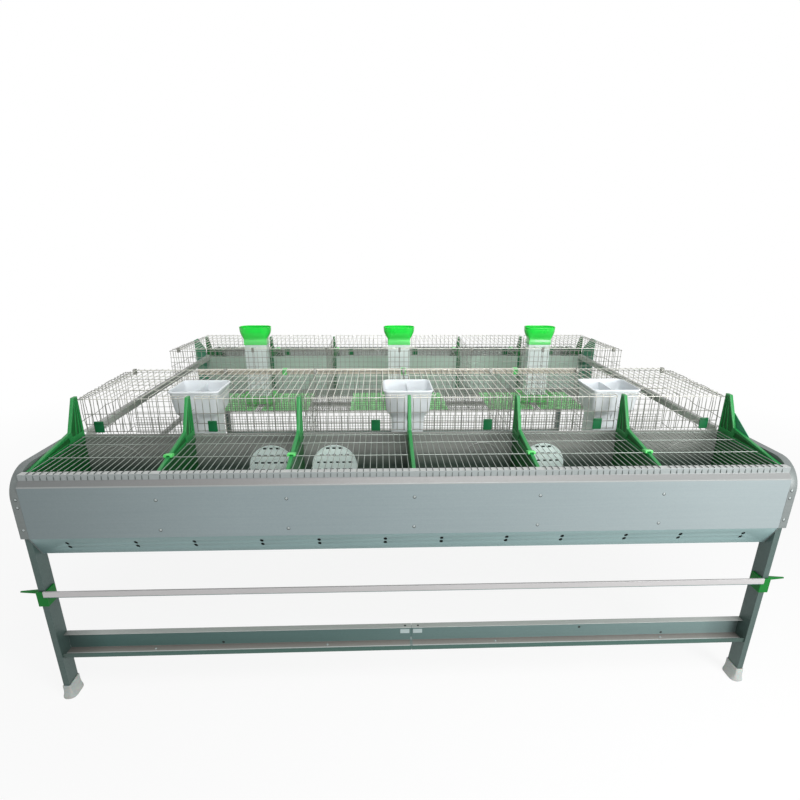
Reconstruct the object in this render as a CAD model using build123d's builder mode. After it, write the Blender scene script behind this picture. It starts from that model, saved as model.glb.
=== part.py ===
import os
from math import cos, radians, sin
from build123d import *

# A rabbit breeding cage: two rows of six cells, back to back over an open aisle. Each cell has a wire
# hood with a lifting door, and a nest box outside it with a lifting wire lid.
# Millimetres, +Z up, origin on the floor under the middle. Front row at -Y, row length along X.
# "Out" is the distance from the middle plane Y=0 towards either row's outer face.

# Rows and cells
cell_pitch = 400.0
cells = 6
aisle = 500.0
hood_depth = 470.0
nest_depth = 370.0

# Heights above the floor
hood_top = 1008.0
nest_top = 866.0
cage_floor = 650.0
nest_floor = 600.0
panel_bottom = 653.0

# Sheet metal and wire
sheet = 2.0
wire = 3.0
weld_gap = 0.05
seat_gap = 0.3
leaf_pitch = 93.0
back_pitch = 170.0
end_pitch = 90.0
floor_pitch = 150.0
partition_pitch = 200.0

# Nest front: upright panel, slanted face, upright face, top lip
rail_lip = 24.0
rail_upright = 19.0
rail_slant = 16.0

# Nest beam: slanted flange under the panel
beam_lap = 36.0
beam_slant_in = 40.0
beam_slant_down = 78.0
beam_return = 20.0

# Nest wall doorways and their covers
doorway_radius = 82.5
doorway_sill = 2.0
doorway_from_divider = 118.0
cover_lap = 3.0
cover_thickness = 4.0
cover_fit = 1.0
cover_tab = (20.0, 4.0)
slot_width = 13.0
slot_height = 14.0
slot_pitch = 24.0
slot_row_pitch = 58.0
slot_columns = 5
covered_cells = (2, 3, 5)
cover_sides = 40

# Nest dividers with fin posts
divider_web = 6.0
divider_edge = 12.0
divider_edge_height = 10.0
divider_drop = 4.0
post_base = 80.0
post_foot = 42.0
post_tip = 23.0
post_top = 1015.0

# End plates, and the shields beside the hoods
plate_flange = 24.0
plate_corner = 95.0
plate_top = 880.0
plate_back = 15.0
plate_gap = 4.0
shield_depth = 170.0
shield_top = 1003.0
shield_shoulder = 65.0
shield_step = 35.0
wing_reach = 135.0
wing_top = 952.0
wing_slope = (95.0, 60.0)

# Hinges of lids and doors
pin_radius = 2.0
pin_fit = 0.05
pin_seat = 4.0
lid_pin_out = 18.0
door_pin_out = 6.0
wire_overhang = 4.0
side_gap = 8.0
lid_cross_wires = 2
lid_lap = 20.0
door_front_rows = 3
door_face_gap = 0.2
door_lift = 6.0
latch_width = 33.0
latch_height = 43.0
latch_offsets = {"front": (-137, -126, 77, 98, 118, 132), "rear": (-131, -96, -93, -83, 101, 1)}
mesh_drop = 5.0
ear_depth = 18.0
ear_height = 24.0

# Legs and feet
leg_web = 54.0
leg_flange = 20.0
leg_setback = 10.0
leg_top = 760.0
leg_bottom = 12.0
foot_base = (48.0, 74.0)
foot_base_round = 22.0
foot_skirt = 7.0
foot_shoulder = 32.0
foot_height = 54.0
foot_wall = 3.5

# Lower beams, splices, guard rails and their clamps
low_beam_bottom = 172.0
low_beam_height = 74.0
low_beam_top_flange = 23.0
low_beam_bottom_flange = 50.0
low_beam_lip = 17.0
low_beam_setback = 65.0
seam = 1.0
splice_length = 100.0
splice_height = 48.0
tab_width = 33.0
tab_height = 17.0
tab_spacing = 46.0
tab_drop = 24.0
rail_height = 22.0
rail_fold = 6.0
rail_z = 442.0
rail_past_leg = 3.0
clamp_wall = 6.0
clamp_below = 46.0
clamp_grip = 44.0
spike_length = 64.0
spike_root = 11.0
spike_tip = 4.0

# End grids, which flare towards the aisle, and the rails inside them
grid_from_row = 13.0
grid_flare = 30.0
grid_from_plate = 2.0
grid_fold_x = 8.0
end_rail_height = 30.0
end_rail_flange = 18.0
end_rail_from_row = 11.0
end_rail_rise = 14.0
base_rail = 18.0

# Water pipe
pipe_size = 22.0
pipe_wall = 2.0
pipe_span = (-930.0, 812.0)
pipe_drop = 18.0
pipe_clip_x = (-540.0, 0.0, 520.0)
pipe_clip = 26.0

# Front feed hoppers
feeder_x = (-2 * cell_pitch, 0.0, 2 * cell_pitch)
hopper_from_front = 128.0
hopper_rim = (183.0, 177.0)
hopper_shoulder = (164.0, 158.0)
hopper_neck = (122.0, 116.0)
hopper_shoulder_z = 930.0
hopper_neck_top = 872.0
hopper_rise = 4.0
hopper_bottom = 702.0
hopper_wall = 2.5
hopper_lip = 4.0
hopper_lip_height = 6.0
hopper_rim_round = 20.0
hopper_neck_round = 10.0
window_width = 80.0
window_height = 58.0
window_sill = 12.0
notch_gap = 6.0

# Rear feed tubes, funnels and troughs
tube_from_back = 105.0
tube_size = (120.0, 60.0)
tube_wall = 2.5
tube_top = 1040.0
tube_lift = 26.0
funnel_rim = (174.0, 104.0)
funnel_top = 1110.0
funnel_rim_height = 14.0
funnel_throat_top = 1056.0
funnel_collar = 28.0
funnel_wall = 2.5
funnel_fit = 0.3
funnel_round = 4.0
funnel_rim_round = 46.0
trough_size = (190.0, 128.0)
trough_height = 48.0
trough_wall = 3.0
trough_bottom = 676.0
trough_flare = 14.0
trough_round = 12.0

# Foot mats
mat_size = (260.0, 360.0)
mat_thickness = 6.0
mat_from_back = 182.0
mat_from_feeder = 150.0

# Places worked out from the sizes above
half_row = cell_pitch * cells / 2
back_out = aisle / 2
wall_out = back_out + hood_depth
front_out = wall_out + nest_depth
divider_x = [cell_pitch * i - half_row for i in range(cells + 1)]
cell_x = [x + cell_pitch / 2 for x in divider_x[:-1]]
plate_x = half_row + divider_edge / 2 + plate_gap
inner_half = plate_x - seat_gap
rows = ((-1, "front"), (1, "rear"))
rail_out = front_out - rail_slant
panel_top = nest_top - rail_upright - rail_slant
beam_bottom = panel_bottom - beam_slant_down
doorway_z = cage_floor + doorway_sill + doorway_radius
lid_wire_z = nest_top + seat_gap
lid_pin_z = lid_wire_z - weld_gap - pin_radius
lid_pin_y = wall_out + lid_pin_out
door_wire_z = hood_top - wire
door_pin_z = door_wire_z - weld_gap - pin_radius
door_pin_y = back_out + door_pin_out
door_front = wall_out - door_face_gap
wall_top = lid_pin_z + pin_radius + wire
door_bottom = wall_top + door_lift
leaf_half = (cell_pitch - divider_edge) / 2 - side_gap
pin_half = (cell_pitch - divider_edge) / 2 + pin_seat
pin_slot = 2 * (pin_radius + pin_fit)
hopper_top = hood_top + hopper_rise
leg_x = plate_x + sheet + weld_gap
leg_front = front_out - leg_setback
leg_back = leg_front - leg_web
mesh_top = door_pin_z - pin_radius - mesh_drop
hopper_out = wall_out - hopper_from_front
tube_out = back_out + tube_from_back
pipe_out = back_out - 2 * wire - 2 * weld_gap - pipe_size / 2
mat_out = back_out + mat_from_back
rail_half = leg_x + rail_past_leg
grid_x = half_row + grid_from_row


def spread(low, high, pitch):
    """Evenly spaced places from low to high, about a pitch apart."""
    steps = max(1, round((high - low) / pitch))
    return [low + (high - low) * i / steps for i in range(steps + 1)]


def folded_sheet(points, thickness):
    """The outline of a sheet folded along a line of points, with its thickness on the line's right."""
    line = [Vector(*point) for point in points]
    normals = [(b - a).normalized().rotate(Axis.Z, -90) for a, b in zip(line, line[1:])]
    inner = [line[0] + normals[0] * thickness]
    for corner, before, after in zip(line[1:-1], normals, normals[1:]):
        inner.append(corner + (before + after) * (thickness / (1 + before.dot(after))))
    inner.append(line[-1] + normals[-1] * thickness)
    return [(place.X, place.Y) for place in line + inner[::-1]]


def eased_ring(size, corner, z, flats=2):
    """A rectangle of that size at that height, each corner eased by flats on a round of that radius."""
    width, depth = size
    points = []
    for quarter, (i, j) in enumerate(((1, 1), (-1, 1), (-1, -1), (1, -1))):
        for step in range(flats + 1):
            turn = radians(90 * (quarter + step / flats))
            x = i * (width / 2 - corner) + corner * cos(turn)
            y = j * (depth / 2 - corner) + corner * sin(turn)
            points.append((x, y, z))
    return points


def faceted(rings):
    """A solid over rings of points, lowest first, with each ring's edges parallel to the next one's."""
    faces = [Face(Wire.make_polygon(ring)) for ring in (rings[0], rings[-1])]
    for low, high in zip(rings, rings[1:]):
        for i in range(len(low)):
            faces.append(Face(Wire.make_polygon([low[i - 1], low[i], high[i], high[i - 1]])))
    return Solid(Shell(faces))


def inset(size, by):
    """A width and depth made smaller by a distance on every side."""
    return tuple(length - 2 * by for length in size)


def along_x(outline, spans):
    """Extrusions along X, over each (start, end), of one outline in the YZ plane."""
    for start, end in spans:
        with BuildSketch(Plane.YZ.offset(start)) as profile:
            with BuildLine():
                Polyline(*outline, close=True)
            make_face()
        extrude(profile.sketch, amount=end - start)


def hinge_rod(x, y, z):
    """A rod along X that a lid or a door turns on, round on top about that place."""
    with BuildSketch(Plane.YZ.offset(x - pin_half)) as rod:
        with BuildLine(Location((y, z))):
            crown = CenterArc((0, 0), pin_radius, 45, 90)
            Polyline(crown @ 0, (0, 0), crown @ 1)
        make_face()
    extrude(rod.sketch, amount=2 * pin_half)


def bent_wires(places, outline):
    """Square wires with one outline in the YZ plane, one at each X."""
    with BuildSketch(*[Plane.YZ.offset(x - wire / 2) for x in places]) as profile:
        with BuildLine():
            Polyline(*outline, close=True)
        make_face()
    extrude(profile.sketch, amount=wire)


os.makedirs("parts", exist_ok=True)

# Legs: C-channels, web against the end plate, flanges outward
for side, row in rows:
    for end, name in ((-1, "left"), (1, "right")):
        with BuildPart() as leg:
            with BuildSketch(Plane.XY.offset(leg_bottom)):
                with Locations((end * (leg_x + leg_flange / 2), side * (leg_front + leg_back) / 2)):
                    Rectangle(leg_flange, leg_web)
                with Locations((end * (leg_x + sheet + leg_flange / 2), side * (leg_front + leg_back) / 2)):
                    Rectangle(leg_flange, leg_web - 2 * sheet, mode=Mode.SUBTRACT)
            extrude(amount=leg_top - leg_bottom)
        leg.part.label = f"leg_{row}_{name}"
        export_step(leg.part, f"parts/leg_{row}_{name}.step")

# Feet: oval bases that rise into a sleeve around the leg
with BuildPart() as one_foot:
    sleeve = inset((leg_flange, leg_web), -seat_gap - foot_wall)
    add(
        faceted(
            [
                eased_ring(foot_base, foot_base_round, 0),
                eased_ring(foot_base, foot_base_round, foot_skirt),
                eased_ring(sleeve, foot_wall, foot_shoulder),
                eased_ring(sleeve, foot_wall, foot_height),
            ]
        )
    )
    with Locations((0, 0, leg_bottom)):
        Box(
            *inset((leg_flange, leg_web), -seat_gap),
            foot_height,
            align=(Align.CENTER, Align.CENTER, Align.MIN),
            mode=Mode.SUBTRACT,
        )
with BuildPart() as feet:
    foot_x = leg_x + leg_flange / 2
    foot_y = (leg_front + leg_back) / 2
    with Locations(*[(i * foot_x, j * foot_y, 0) for i in (-1, 1) for j in (-1, 1)]):
        add(one_foot.part)
feet.part.label = "feet"
export_step(feet.part, "parts/feet.step")

# Lower beams: channels open to the outside, each in two halves that meet at mid length
with BuildPart() as lower_beams:
    web_out = front_out - low_beam_setback
    low_beam_top = low_beam_bottom + low_beam_height
    beam_half = leg_x - weld_gap
    channel = folded_sheet(
        [
            (-web_out - low_beam_top_flange, low_beam_top),
            (-web_out, low_beam_top),
            (-web_out, low_beam_bottom),
            (-web_out - low_beam_bottom_flange, low_beam_bottom),
            (-web_out - low_beam_bottom_flange, low_beam_bottom + low_beam_lip),
        ],
        sheet,
    )
    along_x(channel, [(-beam_half, -seam / 2), (seam / 2, beam_half)])
    mirror(about=Plane.XZ)
lower_beams.part.label = "lower_beams"
export_step(lower_beams.part, "parts/lower_beams.step")

# Splices: a strip behind each seam and two small tabs in front of it
with BuildPart() as splices:
    splice_z = low_beam_bottom + low_beam_height / 2
    with Locations((0, -web_out + sheet / 2 + weld_gap, splice_z)):
        Box(splice_length, sheet, splice_height)
    tab_y = -web_out - 1.5 * sheet - weld_gap
    tab_z = low_beam_top - tab_drop - tab_height / 2
    with Locations(*[(i * tab_spacing / 2, tab_y, tab_z) for i in (-1, 1)]):
        Box(tab_width, sheet, tab_height)
    mirror(about=Plane.XZ)
splices.part.label = "splices"
export_step(splices.part, "parts/splices.step")

# Guard rails: strips with a folded top edge, in front of the legs
with BuildPart() as guard_rails:
    clamp_front = leg_front + seat_gap + clamp_wall
    rail_face = clamp_front + weld_gap + sheet
    strip = folded_sheet(
        [
            (-rail_face, rail_z - rail_height / 2),
            (-rail_face, rail_z + rail_height / 2),
            (-rail_face + rail_fold, rail_z + rail_height / 2),
        ],
        sheet,
    )
    along_x(strip, [(-rail_half, rail_half)])
    mirror(about=Plane.XZ)
guard_rails.part.label = "guard_rails"
export_step(guard_rails.part, "parts/guard_rails.step")

# Rail clamps: forks that grip each leg from the front, with a spike that points outward
with BuildPart() as rail_clamps:
    clamp_top = rail_z + rail_height / 2 - sheet - seat_gap
    clamp_inner = leg_x - seat_gap
    clamp_outer = leg_x + leg_flange + seat_gap
    fork_x = (clamp_inner + clamp_outer) / 2
    fork_width = clamp_outer - clamp_inner + 2 * clamp_wall
    fork_depth = clamp_front - leg_front + clamp_grip
    for side, row in rows:
        for end in (-1, 1):
            with BuildSketch(Plane.XY.offset(rail_z - clamp_below)) as fork:
                with Locations((end * fork_x, side * (clamp_front - fork_depth / 2))):
                    Rectangle(fork_width, fork_depth)
                with Locations((end * fork_x, side * (clamp_front - clamp_wall - fork_depth / 2))):
                    Rectangle(clamp_outer - clamp_inner, fork_depth, mode=Mode.SUBTRACT)
            extrude(fork.sketch, amount=clamp_top - rail_z + clamp_below)
            spike_y = side * (clamp_front - clamp_grip / 2)
            spike_base = Plane(
                origin=(end * (clamp_outer + clamp_wall), spike_y, clamp_top - spike_root),
                x_dir=(0, 1, 0),
                z_dir=(end, 0, 0),
            )
            with BuildSketch(spike_base) as spike_root_face:
                Rectangle(spike_root, spike_root)
            with BuildSketch(spike_base.offset(spike_length)) as spike_tip_face:
                Rectangle(spike_tip, spike_tip)
            loft([spike_root_face.sketch.face(), spike_tip_face.sketch.face()])
rail_clamps.part.label = "rail_clamps"
export_step(rail_clamps.part, "parts/rail_clamps.step")

# End plates: webs with a rounded front top corner and a flange that follows the edge outward
for end, name in ((-1, "left"), (1, "right")):
    with BuildPart() as end_plates:
        plate_rear = wall_out - plate_back
        with BuildSketch(Plane.YZ.offset(end * plate_x)) as web:
            with BuildLine():
                Polyline(
                    (-front_out, plate_top - plate_corner),
                    (-front_out, panel_bottom),
                    (-front_out + beam_slant_in, beam_bottom),
                    (-plate_rear, beam_bottom),
                    (-plate_rear, plate_top),
                    (-front_out + plate_corner, plate_top),
                )
                RadiusArc(
                    (-front_out + plate_corner, plate_top),
                    (-front_out, plate_top - plate_corner),
                    -plate_corner,
                )
            make_face()
        extrude(web.sketch, amount=end * sheet)
        with BuildSketch(Plane.YZ.offset(end * plate_x)) as flange:
            with BuildLine():
                Line((-front_out, panel_bottom), (-front_out, plate_top - plate_corner))
                RadiusArc(
                    (-front_out, plate_top - plate_corner),
                    (-front_out + plate_corner, plate_top),
                    plate_corner,
                )
                Line((-front_out + plate_corner, plate_top), (-plate_rear, plate_top))
                offset(amount=sheet, side=Side.RIGHT, kind=Kind.INTERSECTION)
            make_face()
        extrude(flange.sketch, amount=end * (sheet + plate_flange))
        mirror(about=Plane.XZ)
    end_plates.part.label = f"end_plates_{name}"
    export_step(end_plates.part, f"parts/end_plates_{name}.step")

# End shields: a plate beside each end of the rear hood, and a sloped wing at the front row's right end
with BuildPart() as end_shields:
    shield_in = wall_out - plate_back - shield_depth
    shield_out = wall_out - seat_gap
    shield_bottom = cage_floor + weld_gap
    for end in (-1, 1):
        with BuildSketch(Plane.YZ.offset(end * (plate_x - weld_gap))) as shield:
            with BuildLine():
                Polyline(
                    (shield_in, shield_bottom),
                    (shield_in, shield_top),
                    (shield_in + shield_shoulder, shield_top),
                    (shield_out, plate_top + shield_step),
                    (shield_out, shield_bottom),
                    close=True,
                )
            make_face()
        extrude(shield.sketch, amount=-end * sheet)
    with BuildSketch(Plane.YZ.offset(plate_x - weld_gap)) as wing:
        with BuildLine():
            wing_in = -wall_out - plate_back
            wing_tip = wing_in - wing_reach
            Polyline(
                (wing_in, shield_bottom),
                (wing_in, wing_top),
                (wing_tip + wing_slope[0], wing_top),
                (wing_tip, wing_top - wing_slope[1]),
                (wing_tip, shield_bottom),
                close=True,
            )
        make_face()
    extrude(wing.sketch, amount=-sheet)
end_shields.part.label = "end_shields"
export_step(end_shields.part, "parts/end_shields.step")

# Nest fronts: panel, slanted face, upright face and top lip folded from one sheet
with BuildPart() as nest_front:
    panel = folded_sheet(
        [
            (-front_out, panel_bottom),
            (-front_out, panel_top),
            (-rail_out, panel_top + rail_slant),
            (-rail_out, nest_top),
            (-rail_out + rail_lip, nest_top),
        ],
        sheet,
    )
    along_x(panel, [(-inner_half, inner_half)])
nest_front.part.label = "nest_front"
export_step(nest_front.part, "parts/nest_front.step")
with BuildPart() as nest_rear:
    mirror(nest_front.part, about=Plane.XZ)
nest_rear.part.label = "nest_rear"
export_step(nest_rear.part, "parts/nest_rear.step")

# Nest beams: a flange behind the panel, a slanted web and a return lip
with BuildPart() as nest_beams:
    beam_face = front_out - sheet - weld_gap
    flange_line = folded_sheet(
        [
            (-beam_face + beam_slant_in + beam_return, beam_bottom),
            (-beam_face + beam_slant_in, beam_bottom),
            (-beam_face, panel_bottom),
            (-beam_face, panel_bottom + beam_lap),
        ],
        sheet,
    )
    along_x(flange_line, [(-inner_half, inner_half)])
    mirror(about=Plane.XZ)
nest_beams.part.label = "nest_beams"
export_step(nest_beams.part, "parts/nest_beams.step")

# Nest walls: plain at the rear, with a round doorway behind each cover at the front
doorway_x = []
for number, x in enumerate(cell_x):
    away = -1 if number % 2 == 0 else 1
    doorway_x.append(x + away * (cell_pitch / 2 - doorway_from_divider))
with BuildPart() as wall_front:
    with BuildSketch(Plane.XZ.offset(wall_out)) as wall_face:
        with Locations((0, (nest_floor + wall_top) / 2)):
            Rectangle(2 * inner_half, wall_top - nest_floor)
        with Locations(*[(doorway_x[number - 1], doorway_z) for number in covered_cells]):
            Circle(doorway_radius, mode=Mode.SUBTRACT)
    extrude(wall_face.sketch, amount=sheet)
wall_front.part.label = "nest_wall_front"
export_step(wall_front.part, "parts/nest_wall_front.step")
with BuildPart() as wall_rear:
    with Locations((0, wall_out + sheet / 2, (nest_floor + wall_top) / 2)):
        Box(2 * inner_half, sheet, wall_top - nest_floor)
wall_rear.part.label = "nest_wall_rear"
export_step(wall_rear.part, "parts/nest_wall_rear.step")

# Nest floors: sheets between the nest wall and the slanted beam
floor_front = front_out - beam_slant_in * (panel_bottom - nest_floor) / beam_slant_down - 3 * sheet
with BuildPart() as nest_floors:
    nest_rear_out = wall_out + sheet + seat_gap
    floor_middle = (nest_rear_out + floor_front) / 2
    with Locations(*[(0, side * floor_middle, nest_floor + sheet / 2) for side, row in rows]):
        Box(2 * inner_half, floor_front - nest_rear_out, sheet)
nest_floors.part.label = "nest_floors"
export_step(nest_floors.part, "parts/nest_floors.step")

# Nest dividers: webs with a thick top edge, rising in a slope to the foot of a tapered fin post with the
# lid pins' slot
with BuildPart() as dividers:
    nest_back = -nest_rear_out
    divider_top = nest_top - divider_drop
    divider_bottom = nest_floor + sheet + weld_gap
    nose = front_out - 4 * sheet
    for x in divider_x:
        along_x(
            [
                (nest_back, divider_bottom),
                (-floor_front, divider_bottom),
                (-nose, panel_bottom),
                (-nose, panel_top),
                (-nose + rail_slant, panel_top + rail_slant),
                (-nose + rail_slant, divider_top),
                (nest_back, divider_top),
            ],
            [(x - divider_web / 2, x + divider_web / 2)],
        )
        along_x(
            [
                (-nose + rail_slant, divider_top),
                (-nose + rail_slant, divider_top - divider_edge_height),
                (nest_back - post_base, divider_top - divider_edge_height),
                (nest_back, divider_top - 2 * divider_edge_height),
                (nest_back, post_top),
                (nest_back - post_tip, post_top),
                (nest_back - post_base, divider_top + post_foot),
                (-nose + rail_slant + rail_lip, divider_top),
            ],
            [(x - divider_edge / 2, x + divider_edge / 2)],
        )
    with Locations((0, -lid_pin_y, lid_pin_z)):
        Box(2 * half_row + 2 * divider_edge, pin_slot, pin_slot, mode=Mode.SUBTRACT)
dividers.part.label = "dividers_front"
export_step(dividers.part, "parts/dividers_front.step")
with BuildPart() as dividers_rear:
    mirror(dividers.part, about=Plane.XZ)
dividers_rear.part.label = "dividers_rear"
export_step(dividers_rear.part, "parts/dividers_rear.step")

# Nest lids: lengthwise wires bent down over the rail, cross wires, and a hinge rod at the rear
leaf_steps = spread(wire - leaf_half, leaf_half - wire, leaf_pitch)
for side, row in rows:
    for number, x in enumerate(cell_x, 1):
        with BuildPart() as lid:
            lid_back = lid_pin_y - pin_radius - wire_overhang
            lid_front = rail_out + seat_gap
            bent_wires(
                [x + step for step in leaf_steps],
                [
                    (side * lid_back, lid_wire_z),
                    (side * lid_front, lid_wire_z),
                    (side * lid_front, lid_wire_z - lid_lap + wire),
                    (side * (lid_front + wire), lid_wire_z - lid_lap + wire),
                    (side * (lid_front + wire), lid_wire_z + wire),
                    (side * lid_back, lid_wire_z + wire),
                ],
            )
            cross_pitch = (lid_front - lid_pin_y) / (lid_cross_wires + 1)
            cross_places = spread(lid_pin_y, lid_front, cross_pitch)[1:-1]
            with Locations(*[(x, side * out, lid_wire_z + 1.5 * wire + weld_gap) for out in cross_places]):
                Box(2 * leaf_half, wire, wire)
            hinge_rod(x, side * lid_pin_y, lid_pin_z)
        lid.part.label = f"lid_{row}_{number}"
        export_step(lid.part, f"parts/lid_{row}_{number}.step")

# Cage doors: wires along the top that bend down the hood's front, with a notch around the feeder
for side, row in rows:
    for number, x in enumerate(cell_x, 1):
        with BuildPart() as door:
            feeder_side = 1 if number % 2 == 1 else -1
            feeder_half = hopper_rim[0] / 2 + hopper_lip if side < 0 else funnel_rim[0] / 2
            feeder_reach = hopper_rim[1] / 2 + hopper_lip if side < 0 else funnel_rim[1] / 2
            feeder_place = hopper_out if side < 0 else tube_out
            notch_in = feeder_place - feeder_reach - notch_gap
            notch_out = feeder_place + feeder_reach + notch_gap
            if side > 0:
                rim_reach = feeder_place + feeder_reach - door_pin_y
                rim_rise = funnel_top - door_pin_z
                notch_out = door_pin_y + (rim_reach**2 + rim_rise**2) ** 0.5 + notch_gap
            notch_edge = cell_pitch / 2 - feeder_half - notch_gap
            whole = [x + step for step in leaf_steps if feeder_side * step + wire / 2 < notch_edge]
            cut = [x + step for step in leaf_steps if feeder_side * step + wire / 2 >= notch_edge]
            door_back = door_pin_y - wire_overhang
            front_inner = door_front - wire
            for places, start in ((whole, door_back), (cut, notch_out)):
                bent_wires(
                    places,
                    [
                        (side * start, hood_top),
                        (side * door_front, hood_top),
                        (side * door_front, door_bottom),
                        (side * front_inner, door_bottom),
                        (side * front_inner, door_wire_z),
                        (side * start, door_wire_z),
                    ],
                )
            stub_middle = side * (door_back + notch_in) / 2
            with Locations(*[(place, stub_middle, hood_top - wire / 2) for place in cut]):
                Box(wire, notch_in - door_back, wire)
            cross_z = door_wire_z - weld_gap - wire / 2
            top_rows = [notch_in - wire_overhang, notch_out + wire_overhang, front_inner - 2 * wire]
            with Locations(*[(x, side * out, cross_z) for out in top_rows]):
                Box(2 * leaf_half, wire, wire)
            front_pitch = (cross_z - door_bottom) / door_front_rows
            front_rows = spread(door_bottom + wire_overhang, cross_z - 2 * wire, front_pitch)
            with Locations(*[(x, side * (front_inner - weld_gap - wire / 2), z) for z in front_rows[:-1]]):
                Box(2 * leaf_half, wire, wire)
            hinge_rod(x, side * door_pin_y, door_pin_z)
            latch_x = x + latch_offsets[row][number - 1]
            latch_y = side * (front_inner + wire)
            with Locations((latch_x, latch_y, door_bottom + latch_height / 2)):
                Box(latch_width, 2 * wire, latch_height)
        door.part.label = f"door_{row}_{number}"
        export_step(door.part, f"parts/door_{row}_{number}.step")

# Doorway covers: slotted discs with four tabs that sit in the doorway
for number in covered_cells:
    with BuildPart() as cover:
        cover_plane = Plane(
            origin=(doorway_x[number - 1], -(wall_out + sheet + seat_gap), doorway_z),
            x_dir=(1, 0, 0),
            z_dir=(0, -1, 0),
        )
        with BuildSketch(cover_plane) as disc:
            RegularPolygon(doorway_radius + cover_lap, cover_sides)
            with GridLocations(slot_pitch, slot_row_pitch, slot_columns, 2):
                Rectangle(slot_width, slot_height, mode=Mode.SUBTRACT)
        extrude(disc.sketch, amount=cover_thickness)
        with BuildSketch(cover_plane) as tabs:
            with PolarLocations(doorway_radius - cover_fit - cover_tab[1], 4):
                Rectangle(cover_tab[1], cover_tab[0])
        extrude(tabs.sketch, amount=-sheet)
    cover.part.label = f"cover_{number}"
    export_step(cover.part, f"parts/cover_{number}.step")

# Cage floors: wires across each row, on cross wires along it
with BuildPart() as cage_floors:
    floor_back = back_out - 2 * wire - wire_overhang
    floor_reach = wall_out - seat_gap
    floor_places = spread(-half_row, half_row, floor_pitch)
    for side, row in rows:
        floor_centre = side * (floor_back + floor_reach) / 2
        with Locations(*[(x, floor_centre, cage_floor - wire / 2) for x in floor_places]):
            Box(wire, floor_reach - floor_back, wire)
        long_places = spread(floor_back + wire_overhang, floor_reach - wire_overhang, 2 * floor_pitch)
        with Locations(*[(0, side * out, cage_floor - 1.5 * wire - weld_gap) for out in long_places]):
            Box(2 * inner_half, wire, wire)
cage_floors.part.label = "cage_floors"
export_step(cage_floors.part, "parts/cage_floors.step")

# Cage backs: upright wires and long wires at the aisle, with the ears that hold the door pins
with BuildPart() as cage_backs:
    mesh_bottom = cage_floor + weld_gap
    mesh_middle = (mesh_bottom + mesh_top) / 2
    ear_z = door_pin_z - ear_height / 4
    back_places = [-grid_x - grid_flare, *floor_places[1:-1], grid_x + grid_flare]
    for side, row in rows:
        with Locations(*[(x, side * (back_out - wire / 2), mesh_middle) for x in back_places]):
            Box(wire, wire, mesh_top - mesh_bottom)
        long_rows = spread(mesh_bottom + wire_overhang, mesh_top - wire_overhang, back_pitch)
        with Locations(*[(0, side * (back_out - 1.5 * wire - weld_gap), z) for z in long_rows]):
            Box(2 * (grid_x + grid_flare), wire, wire)
        with Locations(*[(x, side * (back_out + weld_gap + ear_depth / 2), ear_z) for x in divider_x]):
            Box(divider_edge, ear_depth, ear_height)
        with Locations((0, side * door_pin_y, door_pin_z)):
            Box(2 * half_row + 2 * divider_edge, pin_slot, pin_slot, mode=Mode.SUBTRACT)
cage_backs.part.label = "cage_backs"
export_step(cage_backs.part, "parts/cage_backs.step")

# Partitions between cells, open around the hoppers of the front row and the tubes of the rear row
with BuildPart() as partitions:
    wall_in = back_out + weld_gap
    wall_end = wall_out - seat_gap
    wall_middle = (wall_in + wall_end) / 2
    upright_places = spread(wall_in + ear_depth + 2 * wire, wall_end - wire_overhang, partition_pitch)
    levels = spread(mesh_bottom + wire_overhang, ear_z - ear_height / 2 - wire, partition_pitch)
    for side, row in rows:
        for x in divider_x[1:-1]:
            gap_in, gap_out, sill = wall_end, wall_end, mesh_top
            if x in feeder_x and side < 0:
                half = hopper_rim[1] / 2 + hopper_lip + notch_gap
                gap_in, gap_out, sill = hopper_out - half, hopper_out + half, hopper_bottom
            elif x in feeder_x:
                half = trough_size[1] / 2 + notch_gap
                gap_in, gap_out, sill = tube_out - half, tube_out + half, trough_bottom
            for out in upright_places:
                top = sill if gap_in - wire < out < gap_out + wire else mesh_top
                with Locations((x, side * out, (mesh_bottom + top) / 2)):
                    Box(wire, wire, top - mesh_bottom)
            beside = x + wire + weld_gap
            whole = [z for z in levels if z < sill - wire]
            if sill < mesh_top:
                whole.append(sill - wire / 2)
            with Locations(*[(beside, side * wall_middle, z) for z in whole]):
                Box(wire, wall_end - wall_in, wire)
            for z in levels:
                if z > sill + wire:
                    for start, stop in ((wall_in, gap_in), (gap_out, wall_end)):
                        with Locations((beside, side * (start + stop) / 2, z)):
                            Box(wire, stop - start, wire)
partitions.part.label = "partitions"
export_step(partitions.part, "parts/partitions.step")

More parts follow.
